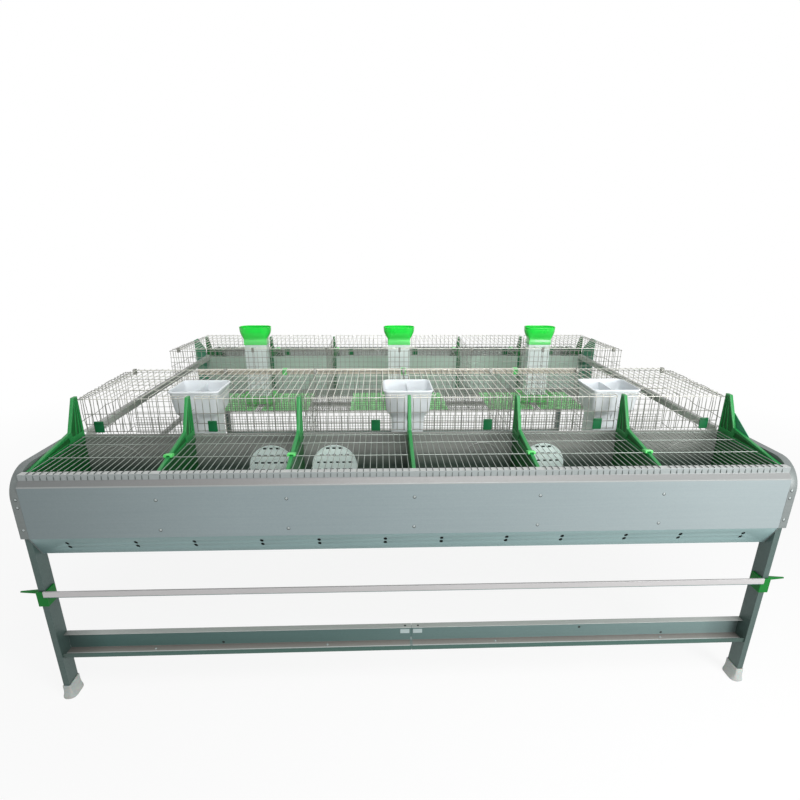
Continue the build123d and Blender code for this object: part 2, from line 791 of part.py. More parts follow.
# End grids: the outer side of each end cell, flared towards the aisle and folded in over its top
with BuildPart() as end_grids:
    grid_in = back_out + wire
    grid_out = wall_out - plate_back - grid_from_plate
    fold_x = half_row - grid_fold_x
    fold_z = mesh_top + weld_gap + wire / 2
    grid_levels = spread(mesh_bottom + wire_overhang, mesh_top - wire_overhang, end_pitch)
    grid_places = spread(grid_in, grid_out, end_pitch)
    for side, row in rows:
        fold_end = shield_in - wire if side > 0 else grid_out
        fold_places = [out for out in grid_places if grid_in + ear_depth < out < fold_end]
        for end in (-1, 1):
            for out in grid_places:
                grid_at = grid_x + grid_flare * (grid_out - out) / (grid_out - grid_in)
                with Locations((end * grid_at, side * out, (mesh_bottom + mesh_top) / 2)):
                    Box(wire, wire, mesh_top - mesh_bottom)
                if out in fold_places:
                    with Locations((end * (grid_at + fold_x) / 2, side * out, fold_z)):
                        Box(grid_at - fold_x, wire, wire)
            with Locations((end * fold_x, side * (fold_places[0] + grid_out) / 2, fold_z - wire - weld_gap)):
                Box(wire, grid_out - fold_places[0], wire)
            near = grid_x + wire / 2 + seat_gap
            with BuildSketch(*[Plane.XY.offset(z - wire / 2) for z in grid_levels]) as slanted:
                Polygon(
                    (end * (near + grid_flare), side * (grid_in - wire / 2)),
                    (end * near, side * grid_out),
                    (end * (near + wire), side * grid_out),
                    (end * (near + grid_flare + wire), side * (grid_in - wire / 2)),
                    align=None,
                )
            extrude(slanted.sketch, amount=wire)
end_grids.part.label = "end_grids"
export_step(end_grids.part, "parts/end_grids.step")

# End rails: an angle inside each end grid, from nest wall to nest wall, and a bar under the cage floors
with BuildPart() as end_rails:
    rail_reach = wall_out - seat_gap
    rail_top = nest_top + end_rail_rise
    base_top = cage_floor - 2 * wire - 2 * weld_gap
    for end in (-1, 1):
        rail_x = half_row - end_rail_from_row
        with BuildSketch(Plane.XZ.offset(-rail_reach)) as angle:
            with Locations((end * (rail_x + sheet / 2), rail_top - end_rail_height / 2)):
                Rectangle(sheet, end_rail_height)
            with Locations((end * (rail_x + end_rail_flange / 2), rail_top - sheet / 2)):
                Rectangle(end_rail_flange, sheet)
        extrude(angle.sketch, amount=2 * rail_reach)
        with Locations((end * half_row, 0, base_top - base_rail / 2)):
            Box(base_rail, 2 * rail_reach, base_rail)
end_rails.part.label = "end_rails"
export_step(end_rails.part, "parts/end_rails.step")

# Water pipe: a square pipe on the aisle side of the front row's back, under clips
with BuildPart() as water_pipes:
    pipe_z = hood_top - pipe_drop
    with BuildSketch(Plane.YZ.offset(pipe_span[0])) as pipe:
        with Locations((-pipe_out, pipe_z)):
            Rectangle(pipe_size, pipe_size)
            Rectangle(*inset((pipe_size, pipe_size), pipe_wall), mode=Mode.SUBTRACT)
    extrude(pipe.sketch, amount=pipe_span[1] - pipe_span[0])
    with Locations(*[(x, -pipe_out, pipe_z + (pipe_size + pipe_wall) / 2 + weld_gap) for x in pipe_clip_x]):
        Box(pipe_clip, pipe_size, pipe_wall)
water_pipes.part.label = "water_pipes"
export_step(water_pipes.part, "parts/water_pipes.step")

# Front hoppers: tapered tubs with a rolled rim, a middle web, a straight neck and two feed windows
for number, x in enumerate(feeder_x, 1):
    with BuildPart() as hopper:
        with Locations((x, -hopper_out, 0)):
            lip_size = inset(hopper_rim, -hopper_lip)
            lip_round = hopper_rim_round + hopper_lip
            lip_top = hopper_top + hopper_lip_height
            add(faceted([eased_ring(lip_size, lip_round, z) for z in (hopper_top, lip_top)]))
            for by, top, mode in ((0.0, hopper_top, Mode.ADD), (hopper_wall, lip_top, Mode.SUBTRACT)):
                tub = [
                    eased_ring(inset(hopper_neck, by), hopper_neck_round - by, hopper_bottom + by),
                    eased_ring(inset(hopper_neck, by), hopper_neck_round - by, hopper_neck_top),
                    eased_ring(inset(hopper_shoulder, by), hopper_rim_round - by, hopper_shoulder_z),
                    eased_ring(inset(hopper_rim, by), hopper_rim_round - by, top),
                ]
                add(faceted(tub), mode=mode)
            with Locations((0, 0, (hopper_neck_top + hopper_top) / 2)):
                Box(hopper_wall, hopper_neck[1] - hopper_wall, hopper_top - hopper_neck_top)
            with Locations((0, 0, hopper_bottom + hopper_wall + window_sill + window_height / 2)):
                Box(2 * hopper_neck[0], window_width, window_height, mode=Mode.SUBTRACT)
    hopper.part.label = f"hopper_{number}"
    export_step(hopper.part, f"parts/hopper_{number}.step")

# Rear feed tubes: pairs of square tubes that share a middle wall
with BuildPart() as feed_tubes:
    tube_bottom = trough_bottom + trough_wall + tube_lift + weld_gap
    with BuildSketch(Plane.XY.offset(tube_bottom)) as pair:
        with Locations(*[(x, tube_out) for x in feeder_x]):
            Rectangle(*tube_size)
            with GridLocations((tube_size[0] - tube_wall) / 2, 0, 2, 1):
                bore = ((tube_size[0] - 3 * tube_wall) / 2, tube_size[1] - 2 * tube_wall)
                Rectangle(*bore, mode=Mode.SUBTRACT)
    extrude(pair.sketch, amount=tube_top - tube_bottom)
feed_tubes.part.label = "feed_tubes"
export_step(feed_tubes.part, "parts/feed_tubes.step")

# Funnels: a collar over each pair of tubes, a throat that rests on them, a flare and an upright rim
with BuildPart() as one_funnel:
    throat = inset(tube_size, tube_wall)
    collar = inset(tube_size, -funnel_fit - funnel_wall)
    mouth_size = inset(funnel_rim, funnel_wall)
    mouth_round = funnel_rim_round - funnel_wall
    seat_z = tube_top + weld_gap
    rim_z = funnel_top - funnel_rim_height
    add(
        faceted(
            [
                eased_ring(collar, funnel_round, tube_top - funnel_collar),
                eased_ring(collar, funnel_round, funnel_throat_top),
                eased_ring(funnel_rim, funnel_rim_round, rim_z),
                eased_ring(funnel_rim, funnel_rim_round, funnel_top),
            ]
        )
    )
    bore = [
        eased_ring(throat, funnel_round, seat_z),
        eased_ring(throat, funnel_round, funnel_throat_top),
        eased_ring(mouth_size, mouth_round, rim_z),
        eased_ring(mouth_size, mouth_round, funnel_top),
    ]
    add(faceted(bore), mode=Mode.SUBTRACT)
    with Locations((0, 0, seat_z)):
        Box(
            *inset(tube_size, -funnel_fit),
            funnel_collar + weld_gap,
            align=(Align.CENTER, Align.CENTER, Align.MAX),
            mode=Mode.SUBTRACT,
        )
with BuildPart() as feed_funnels:
    with Locations(*[(x, tube_out, 0) for x in feeder_x]):
        add(one_funnel.part)
feed_funnels.part.label = "feed_funnels"
export_step(feed_funnels.part, "parts/feed_funnels.step")

# Troughs: open trays that flare upward, with a middle rib that carries the tubes
with BuildPart() as one_trough:
    base = inset(trough_size, trough_flare)
    trough_top = trough_bottom + trough_height
    for by, mode in ((0.0, Mode.ADD), (trough_wall, Mode.SUBTRACT)):
        tray = [
            eased_ring(inset(base, by), trough_round - by, trough_bottom + by, 1),
            eased_ring(inset(trough_size, by), trough_round - by, trough_top, 1),
        ]
        add(faceted(tray), mode=mode)
    with Locations((0, 0, trough_bottom + trough_wall)):
        Box(
            trough_wall,
            base[1] - 2 * trough_wall,
            tube_lift,
            align=(Align.CENTER, Align.CENTER, Align.MIN),
        )
with BuildPart() as feed_troughs:
    with Locations(*[(x, tube_out, weld_gap) for x in feeder_x]):
        add(one_trough.part)
feed_troughs.part.label = "feed_troughs"
export_step(feed_troughs.part, "parts/feed_troughs.step")

# Foot mats: one on each cell's floor, beside the feeder
with BuildPart() as foot_mats:
    mat_z = cage_floor + weld_gap + mat_thickness / 2
    for side, row in rows:
        places = [x + reach * mat_from_feeder for x in feeder_x for reach in (-1, 1)]
        with Locations(*[(x, side * mat_out, mat_z) for x in places]):
            Box(mat_size[0], mat_size[1], mat_thickness)
foot_mats.part.label = "foot_mats"
export_step(foot_mats.part, "parts/foot_mats.step")
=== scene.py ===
import math
import bmesh
import bpy
from mathutils import Matrix, Vector


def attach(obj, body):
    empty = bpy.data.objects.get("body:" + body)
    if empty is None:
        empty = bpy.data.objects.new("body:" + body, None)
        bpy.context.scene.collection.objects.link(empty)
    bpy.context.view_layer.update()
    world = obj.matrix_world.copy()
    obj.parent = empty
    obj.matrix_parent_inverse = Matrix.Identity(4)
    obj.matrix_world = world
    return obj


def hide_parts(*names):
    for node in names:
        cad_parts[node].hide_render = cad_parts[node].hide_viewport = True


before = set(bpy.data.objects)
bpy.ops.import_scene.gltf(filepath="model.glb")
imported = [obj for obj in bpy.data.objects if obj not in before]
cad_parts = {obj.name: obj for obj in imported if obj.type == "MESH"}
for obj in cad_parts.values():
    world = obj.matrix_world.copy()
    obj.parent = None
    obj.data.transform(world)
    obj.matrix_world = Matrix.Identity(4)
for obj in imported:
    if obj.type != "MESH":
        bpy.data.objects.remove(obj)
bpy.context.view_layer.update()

# Legs: four C-channels of folded galvanised sheet, dull teal grey, screwed to the end plates
# with their flanges outward. The sheet shows a faint crystal spangle and rolling streaks.


class Tone:
    """A shader socket. Its operators add Math nodes to its own material."""

    def __init__(self, tree, socket=None):
        self.tree = tree
        self.socket = socket

    def node(self, kind, settings={}, sockets={}, output=0):
        """A new node of that type, with its settings and then its sockets; gives one of its outputs."""
        made = self.tree.nodes.new(kind)
        for name, value in settings.items():
            setattr(made, name, value)
        for name, value in sockets.items():
            if isinstance(value, Tone):
                self.tree.links.new(value.socket, made.inputs[name])
            else:
                made.inputs[name].default_value = value
        return Tone(self.tree, made.outputs[output])

    def worked(self, operation, first, second):
        return self.node("ShaderNodeMath", {"operation": operation}, {0: first, 1: second})

    def __add__(self, other):
        return self.worked("ADD", self, other)

    def __radd__(self, other):
        return self.worked("ADD", other, self)

    def __sub__(self, other):
        return self.worked("SUBTRACT", self, other)

    def __rsub__(self, other):
        return self.worked("SUBTRACT", other, self)

    def __mul__(self, other):
        return self.worked("MULTIPLY", self, other)

    def __rmul__(self, other):
        return self.worked("MULTIPLY", other, self)

    def between(self, low, high):
        """The colour between two colours that this value picks."""
        return self.node("ShaderNodeMix", {"data_type": "RGBA"}, {0: self, 6: low, 7: high}, 2)

    def stretched(self, x, y, z):
        """This place on the object, with each axis scaled."""
        return self.node("ShaderNodeVectorMath", {"operation": "MULTIPLY"}, {0: self, 1: (x, y, z)})

    def along(self, axis):
        """This place's X, Y or Z in metres."""
        return self.node("ShaderNodeSeparateXYZ", {}, {0: self}, axis)

    def unsigned(self):
        """This value without its sign."""
        return self.worked("ABSOLUTE", self, 0.0)

    def ramp(self, low, high):
        """0 below the low value, 1 above the high one, and a straight line between them."""
        return self.node("ShaderNodeMapRange", {}, {"Value": self, "From Min": low, "From Max": high})

    def cloud(self, scale, detail=2.0, rough=0.5):
        """Soft noise from 0 to 1 at this place."""
        sockets = {"Vector": self, "Scale": scale, "Detail": detail, "Roughness": rough}
        return self.node("ShaderNodeTexNoise", {}, sockets)


def colour(code):
    """A shader colour from its hexadecimal code."""
    parts = [int(code[i : i + 2], 16) / 255 for i in (1, 3, 5)]
    return (*[c / 12.92 if c <= 0.04045 else ((c + 0.055) / 1.055) ** 2.4 for c in parts], 1.0)


def finish(name, **fixed):
    """A new material with what stays the same all over it; gives it and the place on it."""
    material = bpy.data.materials.new(name)
    material.use_nodes = True
    shader = material.node_tree.nodes["Principled BSDF"]
    for socket, value in fixed.items():
        shader.inputs[socket.replace("_", " ")].default_value = value
    return material, Tone(material.node_tree).node("ShaderNodeTexCoord", output="Object")


def dress(material, **varied):
    """Links what changes over the surface to the material's shader."""
    shader = material.node_tree.nodes["Principled BSDF"]
    for socket, tone in varied.items():
        material.node_tree.links.new(tone.socket, shader.inputs[socket.replace("_", " ")])
    return material


def zinc_tones(place, dull, bright, rough):
    """What changes over galvanised sheet: its colour, roughness and fine relief."""
    cells = place.node("ShaderNodeTexVoronoi", {}, {"Vector": place, "Scale": 240.0}, "Color")
    spangle = cells.node("ShaderNodeSeparateColor", {}, {0: cells})
    streak = place.stretched(0.7, 45.0, 45.0).cloud(4.0, 3.0)
    bloom = place.cloud(1.7, 3.0, 0.5)
    relief = 0.6 * streak + 0.4 * place.cloud(420.0)
    return {
        "Base_Color": (0.12 * spangle + 0.38 * streak + 0.5 * bloom).between(dull, bright),
        "Roughness": rough + 0.14 * bloom - 0.06 * spangle,
        "Normal": place.node("ShaderNodeBump", {}, {"Strength": 0.1, "Distance": 0.0005, "Height": relief}),
    }


def zinc_sheet(name, dull, bright, metal, rough):
    """Galvanised sheet: fine spangle, rolling streaks along the row and a soft dull bloom."""
    material, place = finish(name, Metallic=metal)
    return dress(material, **zinc_tones(place, colour(dull), colour(bright), rough))


def keep_solid(node, material, ease):
    """Shows a CAD node as it is, with its edges eased and this finish."""
    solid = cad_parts[node]
    weld = solid.modifiers.new("weld", "WELD")
    weld.merge_threshold = 0.00001
    edge = solid.modifiers.new("edges", "BEVEL")
    edge.width = ease / 1000
    edge.segments = 2
    edge.limit_method = "ANGLE"
    edge.angle_limit = math.radians(28)
    edge.use_clamp_overlap = True
    for slot in solid.material_slots:
        slot.material = material
    if not solid.material_slots:
        solid.data.materials.append(material)


frame_zinc = zinc_sheet("frame_zinc", "#3c4e4a", "#536763", 0.2, 0.42)
for row in ("front", "rear"):
    for end in ("left", "right"):
        keep_solid(f"leg_{row}_{end}", frame_zinc, 0.7)

# Feet: soft milky plastic shoes. A flared oval base rises in a hollow curve into a sleeve
# that is pushed over the leg's end.


def moulded(name, deep, pale, rough, grain=0.25, **fixed):
    """Moulded plastic: cloudy colour, faint flow lines and a fine grained skin."""
    material, place = finish(name, **fixed)
    cloud = place.cloud(9.0, 3.0, 0.55)
    flow = place.stretched(3.0, 3.0, 16.0).cloud(5.0, 2.0)
    skin = place.cloud(900.0, 1.0)
    scuff = place.stretched(40.0, 8.0, 40.0).cloud(6.0, 4.0, 0.7)
    bump = place.node(
        "ShaderNodeBump", {}, {"Strength": grain, "Distance": 0.0003, "Height": 0.7 * skin + 0.3 * scuff}
    )
    return dress(
        material,
        Base_Color=(0.6 * cloud + 0.4 * flow).between(colour(deep), colour(pale)),
        Roughness=rough + 0.18 * scuff - 0.06,
        Normal=bump,
    )


def rounded_ring(width, depth, corner, height, turns=6):
    """Points around a rectangle with round corners, at that height."""
    points = []
    for quarter, (i, j) in enumerate(((1, 1), (-1, 1), (-1, -1), (1, -1))):
        for step in range(turns + 1):
            turn = math.radians(90 * (quarter + step / turns))
            x = i * (width / 2 - corner) + corner * math.cos(turn)
            y = j * (depth / 2 - corner) + corner * math.sin(turn)
            points.append((x, y, height))
    return points


def skinned(rings, cap_first=True, cap_last=True):
    """A surface over rings of equal count, with flat caps on its two ends."""
    count = len(rings[0])
    points = [point for ring in rings for point in ring]
    faces = []
    for level in range(len(rings) - 1):
        for i in range(count):
            j = (i + 1) % count
            a, b = level * count, (level + 1) * count
            faces.append((a + i, a + j, b + j, b + i))
    if cap_first:
        faces.append(tuple(reversed(range(count))))
    if cap_last:
        faces.append(tuple(range(len(points) - count, len(points))))
    return points, faces


def gathered(*shells):
    """Several shells of points and faces as one."""
    points, faces = [], []
    for more_points, more_faces in shells:
        start = len(points)
        points.extend(more_points)
        faces.extend(tuple(start + i for i in face) for face in more_faces)
    return points, faces


def moved(shell, x=0.0, y=0.0, z=0.0, matrix=None):
    """A shell carried to another place, in millimetres."""
    carry = Matrix.Translation((x, y, z)) @ (matrix or Matrix.Identity(4))
    return [tuple(carry @ Vector(point)) for point in shell[0]], shell[1]


def piece(name, shell, material, body, nodes=(), sharp=38):
    """A finished piece from a shell in millimetres: smooth but for edges sharper than that angle."""
    mesh = bpy.data.meshes.new(name)
    mesh.from_pydata([[c / 1000 for c in point] for point in shell[0]], [], shell[1])
    work = bmesh.new()
    work.from_mesh(mesh)
    bmesh.ops.recalc_face_normals(work, faces=work.faces)
    work.to_mesh(mesh)
    work.free()
    mesh.polygons.foreach_set("use_smooth", [True] * len(mesh.polygons))
    mesh.set_sharp_from_angle(angle=math.radians(sharp))
    mesh.materials.append(material)
    thing = bpy.data.objects.new(name, mesh)
    bpy.context.collection.objects.link(thing)
    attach(thing, body)
    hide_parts(*nodes)
    return thing


milky = {"Subsurface_Weight": 0.2, "Subsurface_Scale": 0.01}
foot_plastic = moulded("foot_plastic", "#9ca29e", "#bfc4c1", 0.42, **milky)
foot_x, foot_y = 1222.05, 1053.0
sole_wide, sole_deep = 48.0, 74.0
sleeve_wide, sleeve_deep, sleeve_top = 27.6, 61.6, 54.0
pocket_wide, pocket_deep, pocket_floor = 20.7, 54.7, 12.0
foot_rings = [
    rounded_ring(sole_wide - 4, sole_deep - 4, 20, 0),
    rounded_ring(sole_wide, sole_deep, 22, 2),
    rounded_ring(sole_wide, sole_deep, 22, 6),
]
for rise in (0.08, 0.2, 0.36, 0.55, 0.76, 1.0):
    draw_in = math.sin(rise * math.pi / 2) ** 0.8
    wide = sole_wide - (sole_wide - sleeve_wide) * draw_in
    deep = sole_deep - (sole_deep - sleeve_deep) * draw_in
    foot_rings.append(rounded_ring(wide, deep, 22 - 17 * draw_in, 7 + 27 * rise))
foot_rings += [
    rounded_ring(sleeve_wide, sleeve_deep, 5, sleeve_top - 1.5),
    rounded_ring(sleeve_wide - 2, sleeve_deep - 2, 4.5, sleeve_top),
    rounded_ring(pocket_wide, pocket_deep, 2, sleeve_top),
    rounded_ring(pocket_wide, pocket_deep, 2, pocket_floor),
]
foot = skinned(foot_rings)
shoes = gathered(*[moved(foot, i * foot_x, j * foot_y) for i in (-1, 1) for j in (-1, 1)])
piece("feet_shoes", shoes, foot_plastic, "frame", ["feet"])

# Lower beams: channels of zinc coated sheet between the legs, open to the outside, in two halves.
# A strip behind each seam and two bright tabs in front of it join the halves. The shelves are
# brown-grey and darker towards the web. Painted light and shade: a lighter top flange, a pale
# highlight line along each shelf, a dark turned-up lip, darker ends by the legs, and a web that
# lightens from left to right.
beam_zinc = zinc_sheet("beam_zinc", "#74908f", "#8fa8a8", 0.2, 0.42)
channel_zinc, place = finish("channel_zinc", Metallic=0.2)
depth = place.along("Y").unsigned()
# Painted light: the top flange takes a lighter tone than the web, as light falls on it from above.
flange = place.along("Z").ramp(0.2435, 0.2442)
shelf = 1.0 - place.along("Z").ramp(0.1741, 0.1748)
# Painted highlight: a pale line along each shelf near the lip.
painted_shelf_highlight = depth.ramp(1.0515, 1.0525) - depth.ramp(1.0575, 1.059)
# Painted shade: the turned-up lip takes a darker tone.
lip = depth.ramp(1.0728, 1.0732)
# Painted shade: the beams darken towards their ends by the legs.
painted_end_shade = 0.6 * place.along("X").unsigned().ramp(1.08, 1.21)
# Painted light and shade: the web's tone lightens from the left end to the right end.
painted_light_to_right = place.along("X").ramp(-1.1, 1.1)
shades = []
# Columns: the web's tone at the left and right ends, the top flange's painted lighter tone, the shelf's
# tone by the web and towards the lip, and the lip's painted shade.
for near, far, top, shelf_deep, shelf_tone, dark in (
    ("#4d6e6a", "#728b8a", "#a2a7a4", "#69625e", "#8d8782", "#33534b"),
    ("#61827e", "#8ea4a3", "#bcc1be", "#86807b", "#aaa5a0", "#4a6a62"),
):
    # The shelf is brown-grey and darker towards the web.
    shelf_tone = depth.ramp(1.03, 1.05).between(colour(shelf_deep), colour(shelf_tone))
    shelf_tone = painted_shelf_highlight.between(shelf_tone, colour("#d8dad8"))
    web = painted_light_to_right.between(colour(near), colour(far))
    shade = flange.between(shelf.between(web, shelf_tone), colour(top))
    shades.append(painted_end_shade.between(lip.between(shade, colour(dark)), colour("#363b38")))
dress(channel_zinc, **zinc_tones(place, *shades, 0.42))
keep_solid("lower_beams", channel_zinc, 0.7)
splice_zinc, place = finish("splice_zinc", Metallic=0.2)
tab = place.along("X").unsigned().ramp(0.005, 0.006)
tab_tones = (("#4f6b6b", "#b9cccc"), ("#5f7c7c", "#d4e2e2"))
shades = [tab.between(colour(strip), colour(bright)) for strip, bright in tab_tones]
dress(splice_zinc, **zinc_tones(place, *shades, 0.4))
keep_solid("splices", splice_zinc, 0.3)
seam_wide, shelf_out, lip_out = 9.0, 1049.8, 1072.6
seam_shelf = skinned([rounded_ring(seam_wide, 45, 0.5, z) for z in (174.05, 174.5)])
seam_lip = skinned([rounded_ring(seam_wide, 0.5, 0.2, z) for z in (174.6, 188.6)])
seams = []
for side in (-1, 1):
    seams += [moved(seam_shelf, 0, side * shelf_out), moved(seam_lip, 0, side * lip_out)]
piece("beam_seams", gathered(*seams), channel_zinc, "frame")

# Guard rails and clamps: pale satin strips in front of the legs, with a dark lower edge. Green
# plastic forks grip each leg from the front, hold the strip and end in a spike that points outward.
rail_satin, place = finish("rail_satin", Metallic=0.3)
brush = place.stretched(0.8, 160.0, 160.0).cloud(5.0, 4.0)
bloom = place.cloud(3.0, 3.0)
pale = (0.5 * brush + 0.5 * bloom).between(colour("#a8a6a6"), colour("#cbc9c9"))
dress(
    rail_satin,
    Base_Color=place.along("Z").ramp(0.4328, 0.434).between(colour("#5f7775"), pale),
    Roughness=0.3 + 0.2 * brush,
    Normal=place.node("ShaderNodeBump", {}, {"Strength": 0.1, "Distance": 0.0004, "Height": brush}),
)
keep_solid("guard_rails", rail_satin, 0.5)
keep_solid("rail_clamps", moulded("clamp_green", "#045f1e", "#0a7b2c", 0.45, Specular_IOR_Level=0.2), 1.2)

# End plates: webs of galvanised sheet at each end of the nests. Their flange follows the edge
# round the big front corner, beside the nest front; the sheet is lighter than the legs.
plate_zinc = zinc_sheet("plate_zinc", "#676d6c", "#7d8483", 0.15, 0.42)
for end in ("left", "right"):
    keep_solid(f"end_plates_{end}", plate_zinc, 0.7)

# Nest beams: a sheet folded along its length. Its flange lies behind the panel, its slanted web
# carries a pair of holes near each cell's two sides, and a lip returns below. Black discs set in
# the holes are painted shade.


def cut_sheet(outline, holes, thickness, ease=0.0):
    """A flat sheet in its own XY plane, centred on it, with holes through it and eased edges."""
    line = bpy.data.curves.new("outline", "CURVE")
    line.dimensions = "2D"
    line.fill_mode = "BOTH"
    line.extrude = thickness / 2 - ease
    line.bevel_depth = ease
    line.bevel_resolution = 1
    line.offset = -ease
    for loop in (outline, *holes):
        spline = line.splines.new("POLY")
        spline.points.add(len(loop) - 1)
        for point, (x, y) in zip(spline.points, loop):
            point.co = (x, y, 0, 1)
        spline.use_cyclic_u = True
    carrier = bpy.data.objects.new("outline", line)
    mesh = bpy.data.meshes.new_from_object(carrier)
    work = bmesh.new()
    work.from_mesh(mesh)
    bmesh.ops.remove_doubles(work, verts=work.verts, dist=0.0005)
    work.verts.index_update()
    shell = [tuple(v.co) for v in work.verts], [tuple(v.index for v in f.verts) for f in work.faces]
    work.free()
    bpy.data.objects.remove(carrier)
    bpy.data.curves.remove(line)
    bpy.data.meshes.remove(mesh)
    return shell


def circle(x, y, radius, count=20):
    """Points of a round outline."""
    turns = [2 * math.pi * i / count for i in range(count)]
    return [(x + radius * math.cos(turn), y + radius * math.sin(turn)) for turn in turns]


def oval(x, y, half_width, half_height, count=20):
    """Points of an oval outline."""
    return [(x + half_width * i, y + half_height * j) for i, j in circle(0, 0, 1, count)]


def oblong(x, y, width, height):
    """Points of a rectangle's outline."""
    left, right, low, high = x - width / 2, x + width / 2, y - height / 2, y + height / 2
    return [(left, low), (right, low), (right, high), (left, high)]


cell_x = [-1000 + 400 * i for i in range(6)]
beam_length, beam_sheet, beam_face, beam_fold = 2419.4, 2.0, 1087.95, 653.0
slant_in, slant_down = 40.0, 78.0
slant_length = math.hypot(slant_in, slant_down)
upright = Matrix.Rotation(math.pi / 2, 4, "X")
holes = []
for x in cell_x:
    for beside in (-107.5, 107.5):
        holes += [oval(x + beside, rise, 6.0, 8.4) for rise in (13.5, -7.5)]
web = cut_sheet(oblong(0, 0, beam_length, slant_length), holes, beam_sheet, 0.4)
flange = cut_sheet(oblong(0, 0, beam_length, 36.5), [], beam_sheet, 0.4)
lip = cut_sheet(oblong(0, 0, beam_length, 20.5), [], beam_sheet, 0.4)
hole_shade_discs = gathered(*[cut_sheet(hole, [], 1.2, 0.3) for hole in holes])
beam_shells, hole_shade_shells = [], []
for side in (-1, 1):
    along = Vector((1, 0, 0))
    climb = Vector((0, side * slant_in, slant_down)).normalized()
    inward = Vector((0, -side * slant_down, slant_in)).normalized()
    lean = Matrix((along, climb, along.cross(climb))).transposed().to_4x4()
    middle = Vector((0, side * (beam_face - slant_in / 2), beam_fold - slant_down / 2))
    beam_shells += [
        moved(web, *(middle + inward), lean),
        moved(flange, 0, side * (beam_face - 1), beam_fold + 17.8, upright),
        moved(lip, 0, side * (beam_face - slant_in - 9.8), beam_fold - slant_down + 1),
    ]
    hole_shade_shells.append(moved(hole_shade_discs, *(middle + 2.2 * inward), lean))
# Painted shade: black discs sit in the holes.
hole_shade_black = moulded("hole_shade_black", "#050707", "#0d100f", 0.6, Specular_IOR_Level=0.1)
piece("beam_hole_shade", gathered(*hole_shade_shells), hole_shade_black, "frame")
piece("nest_beam_webs", gathered(*beam_shells), beam_zinc, "frame", ["nest_beams"])

# Nest fronts: long galvanised panels, folded at the top into a slanted face, an upright face
# that the lid wires hook over, and a lip. Pairs of rivets hold each divider behind. The slanted
# and upright faces carry a painted reflection, the fold and the lip's top edge painted highlights,
# the left end painted shade, and the right end and the inner faces painted light.
panel_zinc, place = finish("panel_zinc", Metallic=0.15)
height, row = place.along("Z"), place.worked("SIGN", place.along("Y"), 0.0)
# Painted reflection: the slanted face and the upright face take their own tones.
slanted, upright_face = height.ramp(0.829, 0.832), height.ramp(0.8465, 0.8485)
# Painted highlight: a lighter band along the fold.
fold = height.ramp(0.8275, 0.829) - height.ramp(0.8315, 0.833)
# Painted highlight: the lip's top edge is lighter.
lip_highlight = 1.0 - place.along("Y").unsigned().ramp(1.0722, 1.0735)
# Painted shade darkens the left end, and painted light lifts the right end.
painted_shade_left = 0.4 - 0.4 * place.along("X").ramp(-1.25, -0.55)
painted_light_right = 0.25 * place.along("X").ramp(-0.1, 1.1)
# Painted light: the faces turned into the nests take a lighter tone.
facing = place.node("ShaderNodeNewGeometry", output="Normal").along("Y")
inner = 1.0 - (row * facing).ramp(-0.5, -0.3)
shades = []
# Columns: the flat face, the painted reflections on the slanted and upright faces, the painted highlight on
# the lip, and the painted light on the inner faces.
for flat, slope, face, top, back in (
    ("#7c8a8d", "#757574", "#888f8f", "#b4b8b6", "#aab3ae"),
    ("#919ea0", "#8a8a89", "#9ea5a4", "#d2d5d3", "#cad1cd"),
):
    shade = painted_light_right.between(slanted.between(colour(flat), colour(slope)), colour("#a2a8a8"))
    shade = painted_shade_left.between(shade, colour("#4a5758"))
    shade = fold.between(shade, colour("#989c9b"))
    shade = lip_highlight.between(upright_face.between(shade, colour(face)), colour(top))
    shades.append(inner.between(shade, colour(back)))
dress(panel_zinc, **zinc_tones(place, *shades, 0.38))
for node in ("nest_front", "nest_rear"):
    keep_solid(node, panel_zinc, 0.8)

# Nest walls and floors: galvanised sheets between the nests and the cages. The front wall darkens
# towards the floor as painted shade, and the nest floors' near-black tone is painted shade too.
# Round doorways lead into some nests; where one is closed, the sheet shows only its pressed ring.
wall_zinc, place = finish("wall_zinc", Metallic=0.15)
# Painted shade: the wall darkens towards the floor.
painted_light_above = place.along("Z").ramp(0.735, 0.805)
wall_tones = (("#3d4c43", "#8f928d"), ("#506056", "#a9aba6"))
shades = [painted_light_above.between(colour(low), colour(high)) for low, high in wall_tones]
dress(wall_zinc, **zinc_tones(place, *shades, 0.45))
keep_solid("nest_wall_front", wall_zinc, 0.4)
# Painted shade: the nest floors take a near-black tone.
keep_solid("nest_floors", zinc_sheet("floor_zinc", "#252b27", "#3a423c", 0.1, 0.55), 0.4)
rear_zinc = zinc_sheet("rear_zinc", "#98aca1", "#b3c5ba", 0.1, 0.45)
keep_solid("nest_wall_rear", rear_zinc, 0.4)


def bead(radius, half_width, rise):
    """A low round-topped ring in the XY plane, flat side at zero height."""
    rings = []
    for across, up in ((-1.0, 0.0), (-0.6, 0.8), (0.0, 1.0), (0.6, 0.8), (1.0, 0.0)):
        outline = circle(0, 0, radius + half_width * across, 64)
        rings.append([(x, y, rise * up) for x, y in outline])
    return skinned(rings, False, False)


closed_doorways = {-1: (-1082, 282, 1082), 1: (-1082, -518, -282, 282, 518, 1082)}
wall_in, wall_out, ring_z = 720, 722, 738
pressed_ring = gathered(bead(84, 3.5, 1.4), bead(60, 1.5, 0.8))
for side, sheet, tone in ((-1, "front", wall_zinc), (1, "rear", rear_zinc)):
    rings = []
    for x in closed_doorways[side]:
        for face, toward in ((side * wall_in, -side), (side * wall_out, side)):
            turn = Matrix.Rotation(-toward * math.pi / 2, 4, "X")
            rings.append(moved(pressed_ring, x, face, ring_z, turn))
    piece(f"doorway_rings_{sheet}", gathered(*rings), tone, "frame")

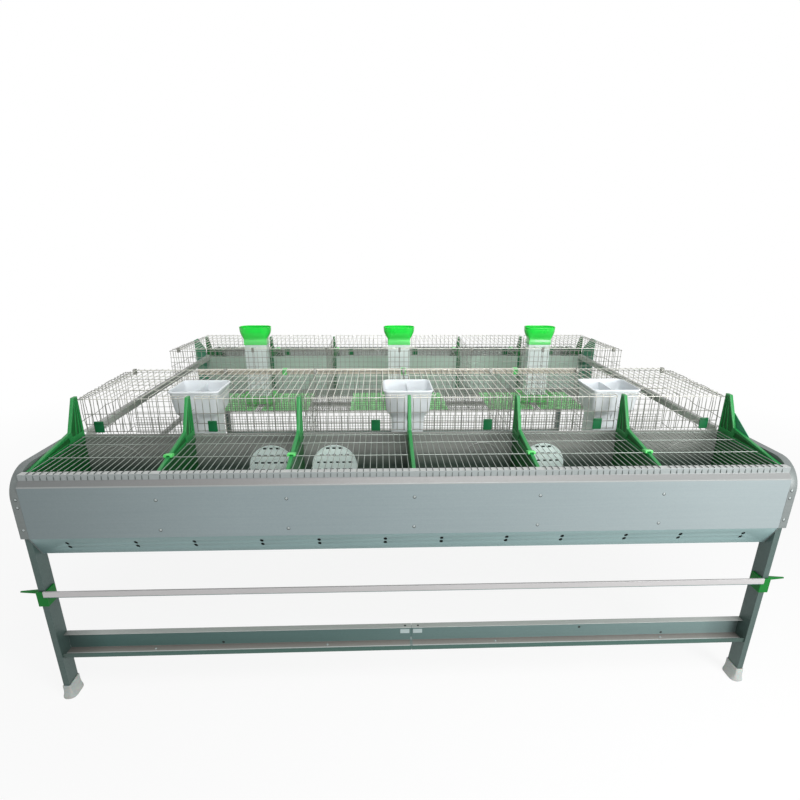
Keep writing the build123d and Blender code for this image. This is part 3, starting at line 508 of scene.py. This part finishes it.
# Nest dividers: moulded green walls between the nests, with a thick top edge. Each rises at the
# back into a tapered fin post, ribbed on both sides, with a round hole for the lids' hinge rods.
divider_green = moulded("divider_green", "#167838", "#279a4c", 0.38)
# Painted shade: the thin walls take a darker copy of the divider green; the thick edges and posts take the
# lighter one.
divider_green_shaded = moulded("divider_green_shaded", "#07511d", "#0c692a", 0.38)
divider_x = [-1200 + 400 * i for i in range(7)]
nest_back, nose, floor_front, floor_top = 722.3, 1082.0, 1056.82, 602.05
post_foot, slope_start = 904.0, 1042.0
lid_rod_out, lid_rod_z = 738.0, 864.25
stand = Matrix(((0, 0, 1), (1, 0, 0), (0, 1, 0))).to_4x4()
rod_hole = circle(lid_rod_out, lid_rod_z, 2.6, 16)
for side, row, post_top in ((-1, "front", 1015.0), (1, "rear", 992.0)):
    web_outline = [
        (nest_back, floor_top), (floor_front, floor_top), (nose, beam_fold), (nose, 831),
        (nose - 16, 847), (nose - 16, 860), (slope_start, 860), (nest_back + 78, post_foot - 3),
        (nest_back + 23, post_top - 4), (nest_back, post_top - 4),
    ]
    edge_outline = [
        (nose - 16, 862), (slope_start, 862), (nest_back + 80, post_foot), (nest_back + 23, post_top),
        (nest_back, post_top), (nest_back, 842), (nest_back + 80, 852), (nose - 16, 852),
    ]
    recess = [
        (nest_back + 8, 884), (nest_back + 72, 884), (nest_back + 74, 903), (nest_back + 19, post_top - 9),
        (nest_back + 8, post_top - 9),
    ]
    cheek = [(nest_back + 86, 870), (slope_start - 60, 866), (nest_back + 94, 890)]
    web = cut_sheet(web_outline, [rod_hole], 6.0, 0.6)
    edge = [cut_sheet(edge_outline, [rod_hole, recess, cheek], 12.0, 1.0)]
    for low, high in ((22, 11), (46, 16)):
        rib = [(low, 876), (low + 5, 876), (high + 3, post_top - 5), (high, post_top - 5)]
        edge.append(cut_sheet([(nest_back + out, z) for out, z in rib], [], 11.0, 0.8))
    flip = Matrix.Diagonal((1, side, 1, 1)) @ stand
    webs = gathered(*[moved(web, x, matrix=flip) for x in divider_x])
    piece(f"dividers_{row}_webs", webs, divider_green_shaded, "frame", [f"dividers_{row}"])
    edges = gathered(*[moved(gathered(*edge), x, matrix=flip) for x in divider_x])
    piece(f"dividers_{row}_edges", edges, divider_green, "frame", [f"dividers_{row}"])

# Wall strips: dark green moulded plastic strips on the cage side of the nest walls. They stand
# upright where the partitions meet the walls.
strip_green = moulded("strip_green", "#135a38", "#1e774b", 0.38)
wall_strip = cut_sheet(oblong(0, 764, 24, 208), [], 5.0, 0.8)
strip_out = 716.9
strips = []
for side in (-1, 1):
    strips += [moved(wall_strip, x, side * strip_out, 0, upright) for x in divider_x[1:-1]]
piece("wall_strips", gathered(*strips), strip_green, "frame")

# Divider clips: small light green plastic saddles, moulded in one piece. They snap over the sloped
# top edges of the inner dividers, apart from the middle one.
clip_green = moulded("clip_green", "#3fcf57", "#74e884", 0.3)
saddle_outline = [
    (-13, -6), (-13, 2.6), (-11.5, 4), (11.5, 4), (13, 2.6), (13, -6),
    (6.6, -6), (6.6, 0.2), (-6.6, 0.2), (-6.6, -6),
]
saddle = cut_sheet(saddle_outline, [], 25.0, 0.7)
clip_out, clip_z = 952.0, 877.8
edge_slope = math.atan2(42, 240)
clips = []
for side in (-1, 1):
    tilt = Matrix.Rotation(side * edge_slope, 4, "X") @ upright
    clips += [moved(saddle, x, side * clip_out, clip_z, tilt) for x in divider_x[1:-1] if x]
piece("divider_clips", gathered(*clips), clip_green, "frame")

# Doorway covers: pale mint plastic discs with rows of small slots and a rim, pushed into the
# doorways that aren't in use and held by four tabs. A dark disc behind each cover's slots is
# painted shade.
cover_plastic = moulded("cover_plastic", "#e6faf4", "#f5fffc", 0.36)
# Painted shade: a dark disc sits behind each cover's slots.
slot_shade = moulded("slot_shade", "#1c2b25", "#2b3d35", 0.5)
doorway_z, doorway_radius = 734.5, 82.5
cover_out, slot_shade_out = 724.3, 722.6
slots = []
for rise, count in ((72.5, 3), (43.5, 5), (14.5, 6), (-14.5, 6), (-43.5, 5), (-72.5, 3)):
    for i in range(count):
        slots.append(oblong((i - (count - 1) / 2) * 24, rise, 14, 8))
edge = circle(0, 0, doorway_radius + 3, 72)
disc = cut_sheet(edge, slots, 4.0, 0.7)
rim = cut_sheet(edge, [circle(0, 0, doorway_radius - 1, 72)], 5.0, 0.7)
tab = cut_sheet(oblong(doorway_radius - 5, 0, 4, 20), [], 4.0, 0.4)
tabs = [moved(tab, z=-2, matrix=Matrix.Rotation(i * math.pi / 2, 4, "Z")) for i in range(4)]
cover = gathered(disc, moved(rim, z=0.5), *tabs)
slot_shade_disc = cut_sheet(circle(0, 0, doorway_radius - 2, 48), [], 1.0, 0.2)
for number, x in ((2, -518), (3, -282), (5, 518)):
    name = f"cover_{number}"
    placed = moved(cover, x, -cover_out, doorway_z, upright)
    piece(f"{name}_disc", placed, cover_plastic, name, [name])
    placed = moved(slot_shade_disc, x, -slot_shade_out, doorway_z, upright)
    piece(f"{name}_slots", placed, slot_shade, name)

# Nest lids: bright galvanised wires welded to two cross wires and a hinge rod. Their front ends
# are bent down over the nest front's upright face, where they are darker as painted shade.


def wire_zinc(name, dull, bright, rough, dark=None, where=None):
    """Drawn and galvanised wire: dull patches, a drawn grain, and darker where that part is."""
    material, place = finish(name, Metallic=0.4)
    patch = place.cloud(38.0, 3.0, 0.6)
    drawn = place.cloud(700.0, 2.0)
    bump = place.node("ShaderNodeBump", {}, {"Strength": 0.15, "Distance": 0.0003, "Height": drawn})
    shade = patch.between(colour(dull), colour(bright))
    if where:
        shade = where(place).between(shade, colour(dark))
    return dress(material, Base_Color=shade, Roughness=rough + 0.25 * patch - 0.08, Normal=bump)


def bent(points, radius, turns=4):
    """A wire's path with each corner bent to that radius."""
    path = [Vector(points[0])]
    for before, corner, after in zip(points, points[1:], points[2:]):
        corner = Vector(corner)
        back = (Vector(before) - corner).normalized()
        ahead = (Vector(after) - corner).normalized()
        half = back.angle(ahead) / 2
        start = corner + back * (radius / math.tan(half))
        centre = corner + (back + ahead).normalized() * (radius / math.sin(half))
        axis = (start - centre).cross(ahead).normalized()
        sweep = math.pi - 2 * half
        for step in range(turns + 1):
            path.append(centre + Matrix.Rotation(sweep * step / turns, 3, axis) @ (start - centre))
    path.append(Vector(points[-1]))
    return path


def drawn_wire(path, radius, sides=7):
    """A round wire along a path, with closed ends."""
    rings = []
    across = None
    turns = [2 * math.pi * k / sides for k in range(sides)]
    for i, place in enumerate(path):
        ahead = (Vector(path[min(i + 1, len(path) - 1)]) - Vector(path[max(i - 1, 0)])).normalized()
        if across is None:
            across = ahead.orthogonal().normalized()
        across = (across - ahead * across.dot(ahead)).normalized()
        beside = ahead.cross(across)
        reach = [radius * (math.cos(turn) * across + math.sin(turn) * beside) for turn in turns]
        rings.append([tuple(Vector(place) + arm) for arm in reach])
    return skinned(rings)


def hook_shade(place):
    """1 on the wires' bent-down front ends, which get a painted shade."""
    return place.along("Y").unsigned().ramp(1.05, 1.056)


# Painted shade: the bent-down front ends of the lid wires are darker.
lid_wire = wire_zinc("lid_wire", "#8b958e", "#b3bcb5", 0.34, "#4c5552", hook_shade)
thick_wire, mesh_wire, thin_wire, rod_radius = 1.5, 1.3, 1.2, 2.0
leaf_half, rod_half = 186.0, 197.8
lid_back, lid_front, lid_z, cross_z = 732.2, 1075.8, 867.8, 870.5
lid_steps = [-(leaf_half - 3) + i * (2 * leaf_half - 6) / 18 for i in range(19)]
for side, row in ((-1, "front"), (1, "rear")):
    for number, x in enumerate(cell_x, 1):
        runs = []
        tip_z = 848.4 + 0.6 * (number * 5 % 4)
        for step in lid_steps:
            spots = ((lid_back, lid_z), (lid_front, lid_z), (lid_front, tip_z))
            hook = [(x + step, side * out, z) for out, z in spots]
            runs.append(drawn_wire(bent(hook, 4), thin_wire))
        for out in (834.0, 951.0):
            ends = [(x + reach, side * out, cross_z) for reach in (-leaf_half, leaf_half)]
            runs.append(drawn_wire(ends, thick_wire))
        rod = [(x + reach, side * lid_rod_out, lid_rod_z) for reach in (-rod_half, rod_half)]
        runs.append(drawn_wire(rod, rod_radius, 10))
        name = f"lid_{row}_{number}"
        piece(f"{name}_wires", gathered(*runs), lid_wire, name, [name], sharp=60)

# Cage floors and backs: welded wire mesh. The floor's wires lie across the row on long wires, and
# the back stands on them along the aisle, closer woven at its foot so that no young slips through,
# with a small ear at each divider for the doors' rods.


def soiled_foot(place):
    """Most on the wires near the floor, fading out above it."""
    return 0.8 - 0.8 * place.along("Z").ramp(0.72, 0.83)


cage_wire = wire_zinc("cage_wire", "#7c7d77", "#adaea6", 0.34, "#646a61", soiled_foot)
floor_z, floor_cross_z, floor_half = 648.5, 645.6, 1209.5
floor_runs = []
for side in (-1, 1):
    for i in range(193):
        x = -1200 + 12.5 * i
        ends = [(x, side * out, floor_z) for out in (240, 719.5)]
        floor_runs.append(drawn_wire(ends, thin_wire, 6))
    for i in range(20):
        ends = [(x, side * (244 + 24.8 * i), floor_cross_z) for x in (-floor_half, floor_half)]
        floor_runs.append(drawn_wire(ends, thick_wire, 6))
piece("cage_floor_mesh", gathered(*floor_runs), cage_wire, "frame", ["cage_floors"], sharp=60)
door_rod_out, door_rod_z = 256.0, 1002.95
ear_outline = [(250.1, 984.95), (268.1, 984.95), (268.1, 1005), (264, 1008.9), (250.1, 1008.9)]
ear = cut_sheet(ear_outline, [circle(door_rod_out, door_rod_z, 2.5, 16)], 12.0, 0.5)
mesh_foot, mesh_top, close_top = 650.1, 995.8, 780.5
back_upright, back_cross, back_half = 248.5, 246.0, 1242.8
close_rows = [654 + 12.5 * i for i in range(11)]
back_runs = []
for side in (-1, 1):
    for i in range(197):
        x, top = -1225 + 12.5 * i, close_top if i % 2 else mesh_top
        ends = [(x, side * back_upright, z) for z in (mesh_foot, top)]
        back_runs.append(drawn_wire(ends, mesh_wire, 6))
    for z in (*close_rows, 804, 829, 854, 880, 906, 932, 958, 991.9):
        ends = [(x, side * back_cross, z) for x in (-back_half, back_half)]
        back_runs.append(drawn_wire(ends, mesh_wire, 6))
    flip = Matrix.Diagonal((1, side, 1, 1)) @ stand
    back_runs += [moved(ear, x, matrix=flip) for x in divider_x]
piece("cage_back_mesh", gathered(*back_runs), cage_wire, "frame", ["cage_backs"], sharp=50)

# Partitions and end grids: welded wire walls across each row. The partitions are open around the
# feeders. The end grids close the rows, fold in over the hoods and are a little wavy from handling.


def wavy(start, end, sway, phase):
    """A wire's path between two places, with a slow sideways sway."""
    start, end = Vector(start), Vector(end)
    count = max(4, round((end - start).length / 28))
    path = []
    for i in range(count + 1):
        part = i / count
        swing = math.sin(part * math.pi) * math.sin(5.0 * math.pi * part + phase)
        path.append(start.lerp(end, part) + Vector(sway) * swing)
    return path


feeder_x = (-800, 0, 800)
wall_back, wall_front = 250.2, 719.5
wall_runs = []
for side in (-1, 1):
    gap_in, gap_out, sill = (494, 690, 702) if side < 0 else (285, 425, 676)
    for x in divider_x[1:-1]:
        feeder = x in feeder_x
        for i in range(10):
            out = 274 + 48.6 * i
            top = sill if feeder and gap_in - 3 < out < gap_out + 3 else mesh_top
            ends = [(x, side * out, z) for z in (mesh_foot, top)]
            wall_runs.append(drawn_wire(ends, thin_wire, 6))
        for z in (654, 704, 754, 804, 854, 904, 954):
            spans = [(wall_back, wall_front)]
            if feeder and z > sill:
                spans = [(wall_back, gap_in), (gap_out, wall_front)]
            for span in spans:
                ends = [(x + 2.4, side * out, z) for out in span]
                wall_runs.append(drawn_wire(ends, thin_wire, 6))
piece("partition_mesh", gathered(*wall_runs), cage_wire, "frame", ["partitions"], sharp=60)
grid_back, grid_front, hood_z, hood_cross_z = 251.6, 703, 997.5, 994.7
end_runs = []
for side in (-1, 1):
    hood_front = 530 if side > 0 else grid_front
    for end in (-1, 1):
        for i in range(16):
            out = 254 + 29.9 * i
            x = end * (1213 + (grid_front - out) / 15)
            ends = [(x, side * out, z) for z in (mesh_foot, mesh_top)]
            end_runs.append(drawn_wire(wavy(*ends, (1.0, 5.5, 0), 1.7 * i + end), thin_wire, 6))
            if 275 < out < hood_front:
                ends = [(end * 1191.5, side * out, hood_z), (x, side * out, hood_z)]
                end_runs.append(drawn_wire(ends, mesh_wire, 6))
        for i in range(5):
            z = 654 + 84.5 * i
            ends = [(end * 1245.9, side * grid_back, z), (end * 1215.9, side * grid_front, z)]
            end_runs.append(drawn_wire(wavy(*ends, (0.8, 0, 4.0), 2.3 * i + end), thin_wire, 6))
        for part in (0.0, 0.5):
            back_x, front_x = end * (1192 + 51.5 * part), end * (1192 + 23 * part)
            ends = [(back_x, side * 276, hood_cross_z), (front_x, side * grid_front, hood_cross_z)]
            end_runs.append(drawn_wire(ends, mesh_wire, 6))
piece("end_grid_mesh", gathered(*end_runs), cage_wire, "frame", ["end_grids"], sharp=60)

# End rails and shields: a galvanised angle inside each end grid ties the two rows together, with a
# bar under the floors. Green plastic plates shield the ends of the rear cages, and one sloped wing
# stands at the front right.
end_zinc, place = finish("end_zinc", Metallic=0.2)
# Painted highlight: a bright line along the rails' fold.
fold = place.along("Z").ramp(0.8745, 0.8755) - place.along("Z").ramp(0.8775, 0.8785)
# Painted shade: the rails darken towards the middle between the two rows.
near = place.along("Y").unsigned().ramp(0.3, 0.7)
shades = []
for web, dark, bright in (("#bdbebb", "#8b8d8a", "#dcdddb"), ("#d6d7d4", "#a3a5a2", "#eeefec")):
    shades.append(fold.between(near.between(colour(dark), colour(web)), colour(bright)))
dress(end_zinc, **zinc_tones(place, *shades, 0.4))
keep_solid("end_rails", end_zinc, 0.5)
shield_green, place = finish("shield_green")
cloud = place.cloud(9.0, 3.0, 0.55)
tint = place.along("Z").ramp(0.86, 0.96)
shield_tones = (("#2c8368", "#338d63"), ("#55a88c", "#57ad7d"))
deep, pale = [tint.between(colour(low), colour(high)) for low, high in shield_tones]
dress(shield_green, Base_Color=cloud.between(deep, pale), Roughness=0.36 + 0.12 * cloud)
keep_solid("end_shields", shield_green, 0.5)

# Rear feeders: bright green troughs on the cage partitions, pairs of milky square tubes that
# stand in them, and glossy green funnels pushed over the tubes' tops.
funnel_green, place = finish("funnel_green", Coat_Weight=0.3)
cloud = place.cloud(9.0, 3.0, 0.55)
tint = place.along("Z").ramp(1.034, 1.056)
funnel_tones = (("#45c957", "#0ed032"), ("#72e080", "#26ee50"))
deep, pale = [tint.between(colour(low), colour(high)) for low, high in funnel_tones]
dress(funnel_green, Base_Color=cloud.between(deep, pale), Roughness=0.22 + 0.14 * cloud)
keep_solid("feed_troughs", moulded("trough_green", "#3fd64f", "#7fee86", 0.32), 1.0)
tube_plastic = moulded("tube_plastic", "#cfdcd9", "#e4eeeb", 0.34)
keep_solid("feed_tubes", tube_plastic, 0.8)
neck = [(125.6, 65.6, 5, 1012), (126.4, 66.4, 5.5, 1013.5), (126.4, 66.4, 5.5, 1036)]
neck += [(125.2, 65.2, 6, 1038), (125.6, 65.6, 6, 1046)]
rim = [(173.4, 103.4, 48, 1106), (174, 104, 48, 1107.5), (173, 103, 48, 1109.4)]
rim += [(170.6, 100.6, 47, 1109.9), (168.6, 98.6, 46, 1109), (168, 98, 46, 1106)]
socket = [(115, 55, 4, 1048), (115, 55, 4, 1040.1), (120.6, 60.6, 2, 1040.1), (120.6, 60.6, 2, 1012)]
bowl_out, bowl_in = [], []
for i in range(1, 10):
    swell, climb = math.sin(min(1.0, 1.14 * i / 9) * math.pi / 2), i / 9
    bowl_out.append((125.6 + 46.4 * swell, 65.6 + 36.4 * swell, 6 + 42 * swell, 1046 + 58 * climb))
    bowl_in.append((115 + 53 * swell, 55 + 43 * swell, 5 + 40 * swell, 1050 + 55 * climb))
funnel_sizes = neck + bowl_out + rim + bowl_in[::-1] + socket + neck[:1]
funnel_points, funnel_faces = skinned([rounded_ring(*size) for size in funnel_sizes], False, False)
creased = []
for x, y, z in funnel_points:
    pinch = 11.0 * math.exp(-((x / 7.0) ** 2)) * min(1.0, max(0.0, (z - 1050) / 40))
    creased.append((x, y - math.copysign(pinch, y), z))
mid_wall = cut_sheet([(-42, 1086), (-27, 1041), (27, 1041), (42, 1086)], [], 2.6, 0.5)
funnel = gathered((creased, funnel_faces), moved(mid_wall, matrix=stand))
feeder_out = 355
funnels = [moved(funnel, x, feeder_out) for x in feeder_x]
piece("feed_funnel_bowls", gathered(*funnels), funnel_green, "frame", ["feed_funnels"])

# Water pipe: a square beige plastic pipe on the aisle side of the front cages' back, with light
# green clips over it.
keep_solid("water_pipes", moulded("pipe_plastic", "#cdc3b4", "#e8e0d3", 0.36), 0.6)
band = cut_sheet(oblong(0, 0, 27, 27), [oblong(0, 0, 22.2, 22.2)], 20.0, 0.8)
pipe_out, pipe_z = 232.9, 990.4
bands = [moved(band, x, -pipe_out, pipe_z, stand) for x in (-540, 0, 520)]
piece("pipe_clips", gathered(*bands), clip_green, "frame")

# Foot mats: pale green moulded plastic mats with rows of slots for the droppings. They lie on
# the wire of the cage floors, one in each cell.
mat_green = moulded("mat_green", "#7fe086", "#adf2ad", 0.4)
mat_slots = [oblong(-108 + 24 * i, -154 + 28 * j, 12, 18) for i in range(10) for j in range(12)]
mat = cut_sheet(oblong(0, 0, 260, 360), mat_slots, 6.0, 0.8)
mat_out, mat_z = 432, 653.05
mats = []
for side in (-1, 1):
    for x in feeder_x:
        mats += [moved(mat, x + beside, side * mat_out, mat_z) for beside in (-150, 150)]
piece("foot_mat_slats", gathered(*mats), mat_green, "frame", ["foot_mats"])

# Front hoppers: milky tubs with round corners that taper to a straight neck, with a rolled rim,
# a web across the middle and a feed window on each side of the neck. They lift out of the doors.
hopper_plastic = moulded("hopper_plastic", "#dde4e8", "#eef2f4", 0.3, 0.15)
hopper_out = 592.0
profile = [(705, 122, 10), (716, 122, 10), (776, 122, 10), (872, 122.6, 10)]
profile += [(900, 130, 11), (909, 133.6, 12), (918, 147, 15), (926, 159.5, 17.4)]
profile += [(931, 163.4, 18), (936, 165, 18.2), (970, 173.2, 19), (1011, 182.8, 20)]
foot_edge = [(116, 110, 7, 702), (120.6, 114.6, 9.4, 702.8)]
outside = [(wide, wide - 6, corner, z) for z, wide, corner in profile]
rim = [(190, 184, 23.5, 1012), (191, 185, 24, 1014), (190, 184, 24, 1017)]
rim += [(187, 181, 23, 1018), (180, 174, 19, 1018), (178.2, 172.2, 18.5, 1016)]
inside = [(wide - 5, wide - 11, corner - 2.5, z + 0.5) for z, wide, corner in reversed(profile)]
tub = skinned([rounded_ring(*size) for size in foot_edge + outside + rim + inside])
window = moved(cut_sheet(oblong(0, 745.5, 80, 58), [], 300.0), matrix=stand)
web_outline = [(-57, 873), (57, 873), (76, 930), (85, 1006), (-85, 1006), (-76, 930)]
mid_web = moved(cut_sheet(web_outline, [], 2.5, 0.4), matrix=stand)
for number, x in enumerate(feeder_x, 1):
    name = f"hopper_{number}"
    shape = piece(f"{name}_tub", moved(tub, x, -hopper_out), hopper_plastic, name, [name])
    cutter = piece(f"{name}_cutter", moved(window, x, -hopper_out), hopper_plastic, name)
    opened = shape.modifiers.new("windows", "BOOLEAN")
    opened.operation = "DIFFERENCE"
    opened.object = cutter
    bpy.context.view_layer.update()
    worked_out = shape.evaluated_get(bpy.context.evaluated_depsgraph_get())
    carved = bpy.data.meshes.new_from_object(worked_out)
    shape.modifiers.clear()
    shape.data = carved
    carved.set_sharp_from_angle(angle=math.radians(38))
    bpy.data.objects.remove(cutter)
    piece(f"{name}_web", moved(mid_web, x, -hopper_out), hopper_plastic, name)

# Cage doors: wires along the hood's top that bend down its front, welded to front wires, a hinge
# rod at the back and a border around the feeder's notch. A green latch is clipped to each front.


def front_wire_shade(place):
    """1 on the wires down the front, 0 along the top; the front wires get a painted shade."""
    return 1.0 - place.along("Z").ramp(0.98, 1.003)


# Painted shade: the wires down the front are darker than those along the top.
door_wire = wire_zinc("door_wire", "#c3c3ba", "#efeee7", 0.32, "#8e8f89", front_wire_shade)
latch_green = moulded("latch_green", "#0a5230", "#12713f", 0.34)
latch_plate = cut_sheet([(x, y) for x, y, z in rounded_ring(33, 43, 3, 0, 3)], [], 3.0, 0.5)
hook_outline = [(-1.6, 14), (1.6, 14), (1.6, 19.5), (-5.5, 19.5), (-5.5, 16.5), (-1.6, 16.5)]
latch_hook = cut_sheet(hook_outline, [], 27.0, 0.5)
latch = gathered(latch_plate, moved(latch_hook, matrix=Matrix.Rotation(math.pi / 2, 4, "Y")))
latch_turn = {-1: upright, 1: upright @ Matrix.Rotation(math.pi, 4, "Y")}
latch_offsets = {-1: (-137, -126, 77, 98, 118, 132), 1: (-131, -96, -93, -83, 101, 1)}
latch_out, latch_z = 721.4, 897
door_back, door_face, door_foot, top_z = 252.0, 718.3, 875.2, 1006.5
border_z, front_cross, front_z = 1003.6, 715.4, (877.0, 906.0, 945.0, 1001.5)
notches = {-1: (493.5, 690.5, 103.0), 1: (297.0, 447.0, 95.0)}
top_cross = {-1: (380.0, 470.0, 600.0), 1: (500.0, 600.0)}
door_steps = [-(leaf_half - 3) + i * (2 * leaf_half - 6) / 14 for i in range(15)]
for side, row in ((-1, "front"), (1, "rear")):
    notch_in, notch_out, notch_half = notches[side]
    for number, x in enumerate(cell_x, 1):
        toward = 1 if number % 2 == 1 else -1
        notch_x, edge_x = x + toward * (200 - notch_half), x + toward * leaf_half
        runs = []
        for step in door_steps:
            wire_x = x + step
            inside = toward * (wire_x - notch_x) > -2
            start = notch_out if inside else door_back
            spots = ((start, top_z), (door_face, top_z), (door_face, door_foot))
            path = [(wire_x, side * out, z) for out, z in spots]
            runs.append(drawn_wire(bent(path, 5), thick_wire))
            if inside:
                ends = [(wire_x, side * out, top_z) for out in (door_back, notch_in)]
                runs.append(drawn_wire(ends, thick_wire))
        border = [
            (edge_x, side * (notch_in - 2), border_z), (notch_x, side * (notch_in - 2), border_z),
            (notch_x, side * (notch_out + 2), border_z), (edge_x, side * (notch_out + 2), border_z),
        ]
        runs.append(drawn_wire(bent(border, 6), thick_wire))
        for out in top_cross[side]:
            reach = notch_x - toward * 2 if notch_in < out < notch_out else edge_x
            ends = [(end_x, side * out, border_z) for end_x in (x - toward * leaf_half, reach)]
            runs.append(drawn_wire(ends, thin_wire))
        for z in front_z:
            ends = [(x + reach, side * front_cross, z) for reach in (-leaf_half, leaf_half)]
            runs.append(drawn_wire(ends, thick_wire))
        rod = [(x + reach, side * door_rod_out, door_rod_z) for reach in (-rod_half, rod_half)]
        runs.append(drawn_wire(rod, rod_radius, 10))
        name = f"door_{row}_{number}"
        piece(f"{name}_wires", gathered(*runs), door_wire, name, [name], sharp=60)
        latch_x = x + latch_offsets[side][number - 1]
        placed = moved(latch, latch_x, side * latch_out, latch_z, latch_turn[side])
        piece(f"{name}_latch", placed, latch_green, name)

# Rivets and screws: domed rivets in the nest fronts, and pan head screws at the ends of the
# panels and along the lower beams. Dark rings under the nest fronts' heads and dark dots on the
# lower beams are painted shade.
rivet_zinc = zinc_sheet("rivet_zinc", "#8b9594", "#b3bbba", 0.2, 0.3)


def dome(radius, height, steps=5, count=18):
    """A round head, flat side down at zero height."""
    rings = [[(x, y, 0.0) for x, y in circle(0, 0, radius, count)]]
    for i in range(1, steps):
        turn = math.pi / 2 * i / steps
        outline = circle(0, 0, radius * math.cos(turn), count)
        rings.append([(x, y, height * math.sin(turn)) for x, y in outline])
    return skinned(rings)


panel_face, web_face, shelf_z, flange_z = 1090, 1027, 174, 246
panel_spots = [(x, z) for x in divider_x[1:-1] for z in (785, 680)]
panel_spots += [(x, z) for x in (-1220, 1220) for z in (791, 764, 685)]
web_spots = ((-675, 182), (617, 214), (928, 182))
# Painted shade: dark rings under the nest fronts' rivet heads, and dark dots on the lower beams.
heads, shade_spots = [], []
for side in (-1, 1):
    face_out = Matrix.Rotation(-side * math.pi / 2, 4, "X")
    for x, z in panel_spots:
        heads.append(moved(dome(4.2, 0.9), x, side * panel_face, z, face_out))
        shade_spots.append(moved(dome(5.6, 0.4), x, side * panel_face, z - 0.8, face_out))
    heads += [moved(dome(4.6, 3.0), x, side * 1043, shelf_z) for x in (-909, -302, 306, 918)]
    shade_spots += [moved(dome(4.8, 0.8), x, side * web_face, z, face_out) for x, z in web_spots]
    shade_spots += [moved(dome(4.0, 0.8), x, side * 1038, flange_z) for x in (-23, 23)]
piece("rivets", gathered(*heads), rivet_zinc, "frame")
piece("rivet_shade_spots", gathered(*shade_spots), moulded("rivet_shade_dark", "#1d2423", "#2f3937", 0.45), "frame")

# Studio: a pale floor that keeps the cage's shadow and bleaches out into white surroundings, soft
# lamps from the right and from above, and a narrow one for the rear row.
floor_mesh = bpy.data.meshes.new("studio_floor")
floor_mesh.from_pydata([(-20, -20, 0), (20, -20, 0), (20, 20, 0), (-20, 20, 0)], [], [(0, 1, 2, 3)])
studio_floor = bpy.data.objects.new("studio_floor", floor_mesh)
bpy.context.collection.objects.link(studio_floor)
floor_white = bpy.data.materials.new("floor_white")
floor_white.use_nodes = True
ground = Tone(floor_white.node_tree)


def seen_directly(tone):
    """1 for rays from the camera, off metal or through plastic, 0 for light on the cage."""
    rays = ["Is Camera Ray", "Is Glossy Ray", "Is Transmission Ray"]
    camera_ray, glossy_ray, clear_ray = [tone.node("ShaderNodeLightPath", output=ray) for ray in rays]
    return camera_ray + glossy_ray + clear_ray


matt = ground.node("ShaderNodeBsdfDiffuse", {}, {"Color": (0.88, 0.88, 0.88, 1.0)})
white = ground.node("ShaderNodeEmission", {}, {"Color": (1.0, 1.0, 1.0, 1.0), "Strength": 1.0})
spot = ground.node("ShaderNodeTexCoord", output="Object")
away = spot.node("ShaderNodeVectorMath", {"operation": "LENGTH"}, {0: spot}, "Value")
bleached = 0.88 + 0.12 * away.ramp(1.6, 4.5)
shown = ground.node("ShaderNodeMixShader", {}, {0: bleached * seen_directly(ground), 1: matt, 2: white})
surface = floor_white.node_tree.nodes["Material Output"].inputs["Surface"]
floor_white.node_tree.links.new(shown.socket, surface)
floor_mesh.materials.append(floor_white)

studio = bpy.data.worlds.new("studio")
studio.use_nodes = True
bpy.context.scene.world = studio
sky = Tone(studio.node_tree)
around = sky.node("ShaderNodeBackground", {}, {"Color": (1.0, 1.0, 1.0, 1.0), "Strength": 0.26})
backdrop = sky.node("ShaderNodeBackground", {}, {"Color": (1.0, 1.0, 1.0, 1.0), "Strength": 1.0})
shown = sky.node("ShaderNodeMixShader", {}, {0: seen_directly(sky), 1: around, 2: backdrop})
surface = studio.node_tree.nodes["World Output"].inputs["Surface"]
studio.node_tree.links.new(shown.socket, surface)


def soft_lamp(name, place, target, size, power, spread=180):
    """A square soft lamp that points at a target and spreads its light over that angle."""
    lamp = bpy.data.lights.new(name, "AREA")
    lamp.size = size
    lamp.energy = power
    lamp.spread = math.radians(spread)
    holder = bpy.data.objects.new(name, lamp)
    holder.visible_camera = False
    holder.location = place
    holder.rotation_euler = (Vector(target) - Vector(place)).to_track_quat("-Z", "Y").to_euler()
    bpy.context.collection.objects.link(holder)


soft_lamp("right_lamp", (1.9, -2.8, 1.4), (0.7, -1.09, 0.75), 1.0, 44)
soft_lamp("top_lamp", (0.5, -3.0, 3.8), (0.1, -0.5, 0.8), 2.2, 92)
soft_lamp("rear_lamp", (0.0, -1.7, 3.7), (0.0, 1.0, 0.85), 2.0, 6.5, 40)

# The camera stands in front of the cage and a little above it, close by, with a wide lens.
camera_data = bpy.data.cameras.new("photo_camera")
camera_data.sensor_width = 36.0
camera_data.lens = 22.886
camera_data.shift_y = 0.0304
camera = bpy.data.objects.new("photo_camera", camera_data)
right = Vector((0.99924, -0.03902, 0.0))
ahead = Vector((0.0369, 0.9449, -0.3253)).normalized()
above = right.cross(ahead)
roll = math.radians(-0.33)
level_right = math.cos(roll) * right - math.sin(roll) * above
level_up = math.sin(roll) * right + math.cos(roll) * above
turn = Matrix((level_right, level_up, -ahead)).transposed().to_4x4()
camera.matrix_world = Matrix.Translation((-0.1032, -2.5238, 1.5201)) @ turn
bpy.context.collection.objects.link(camera)
bpy.context.scene.camera = camera
bpy.context.scene.view_settings.view_transform = "Standard"
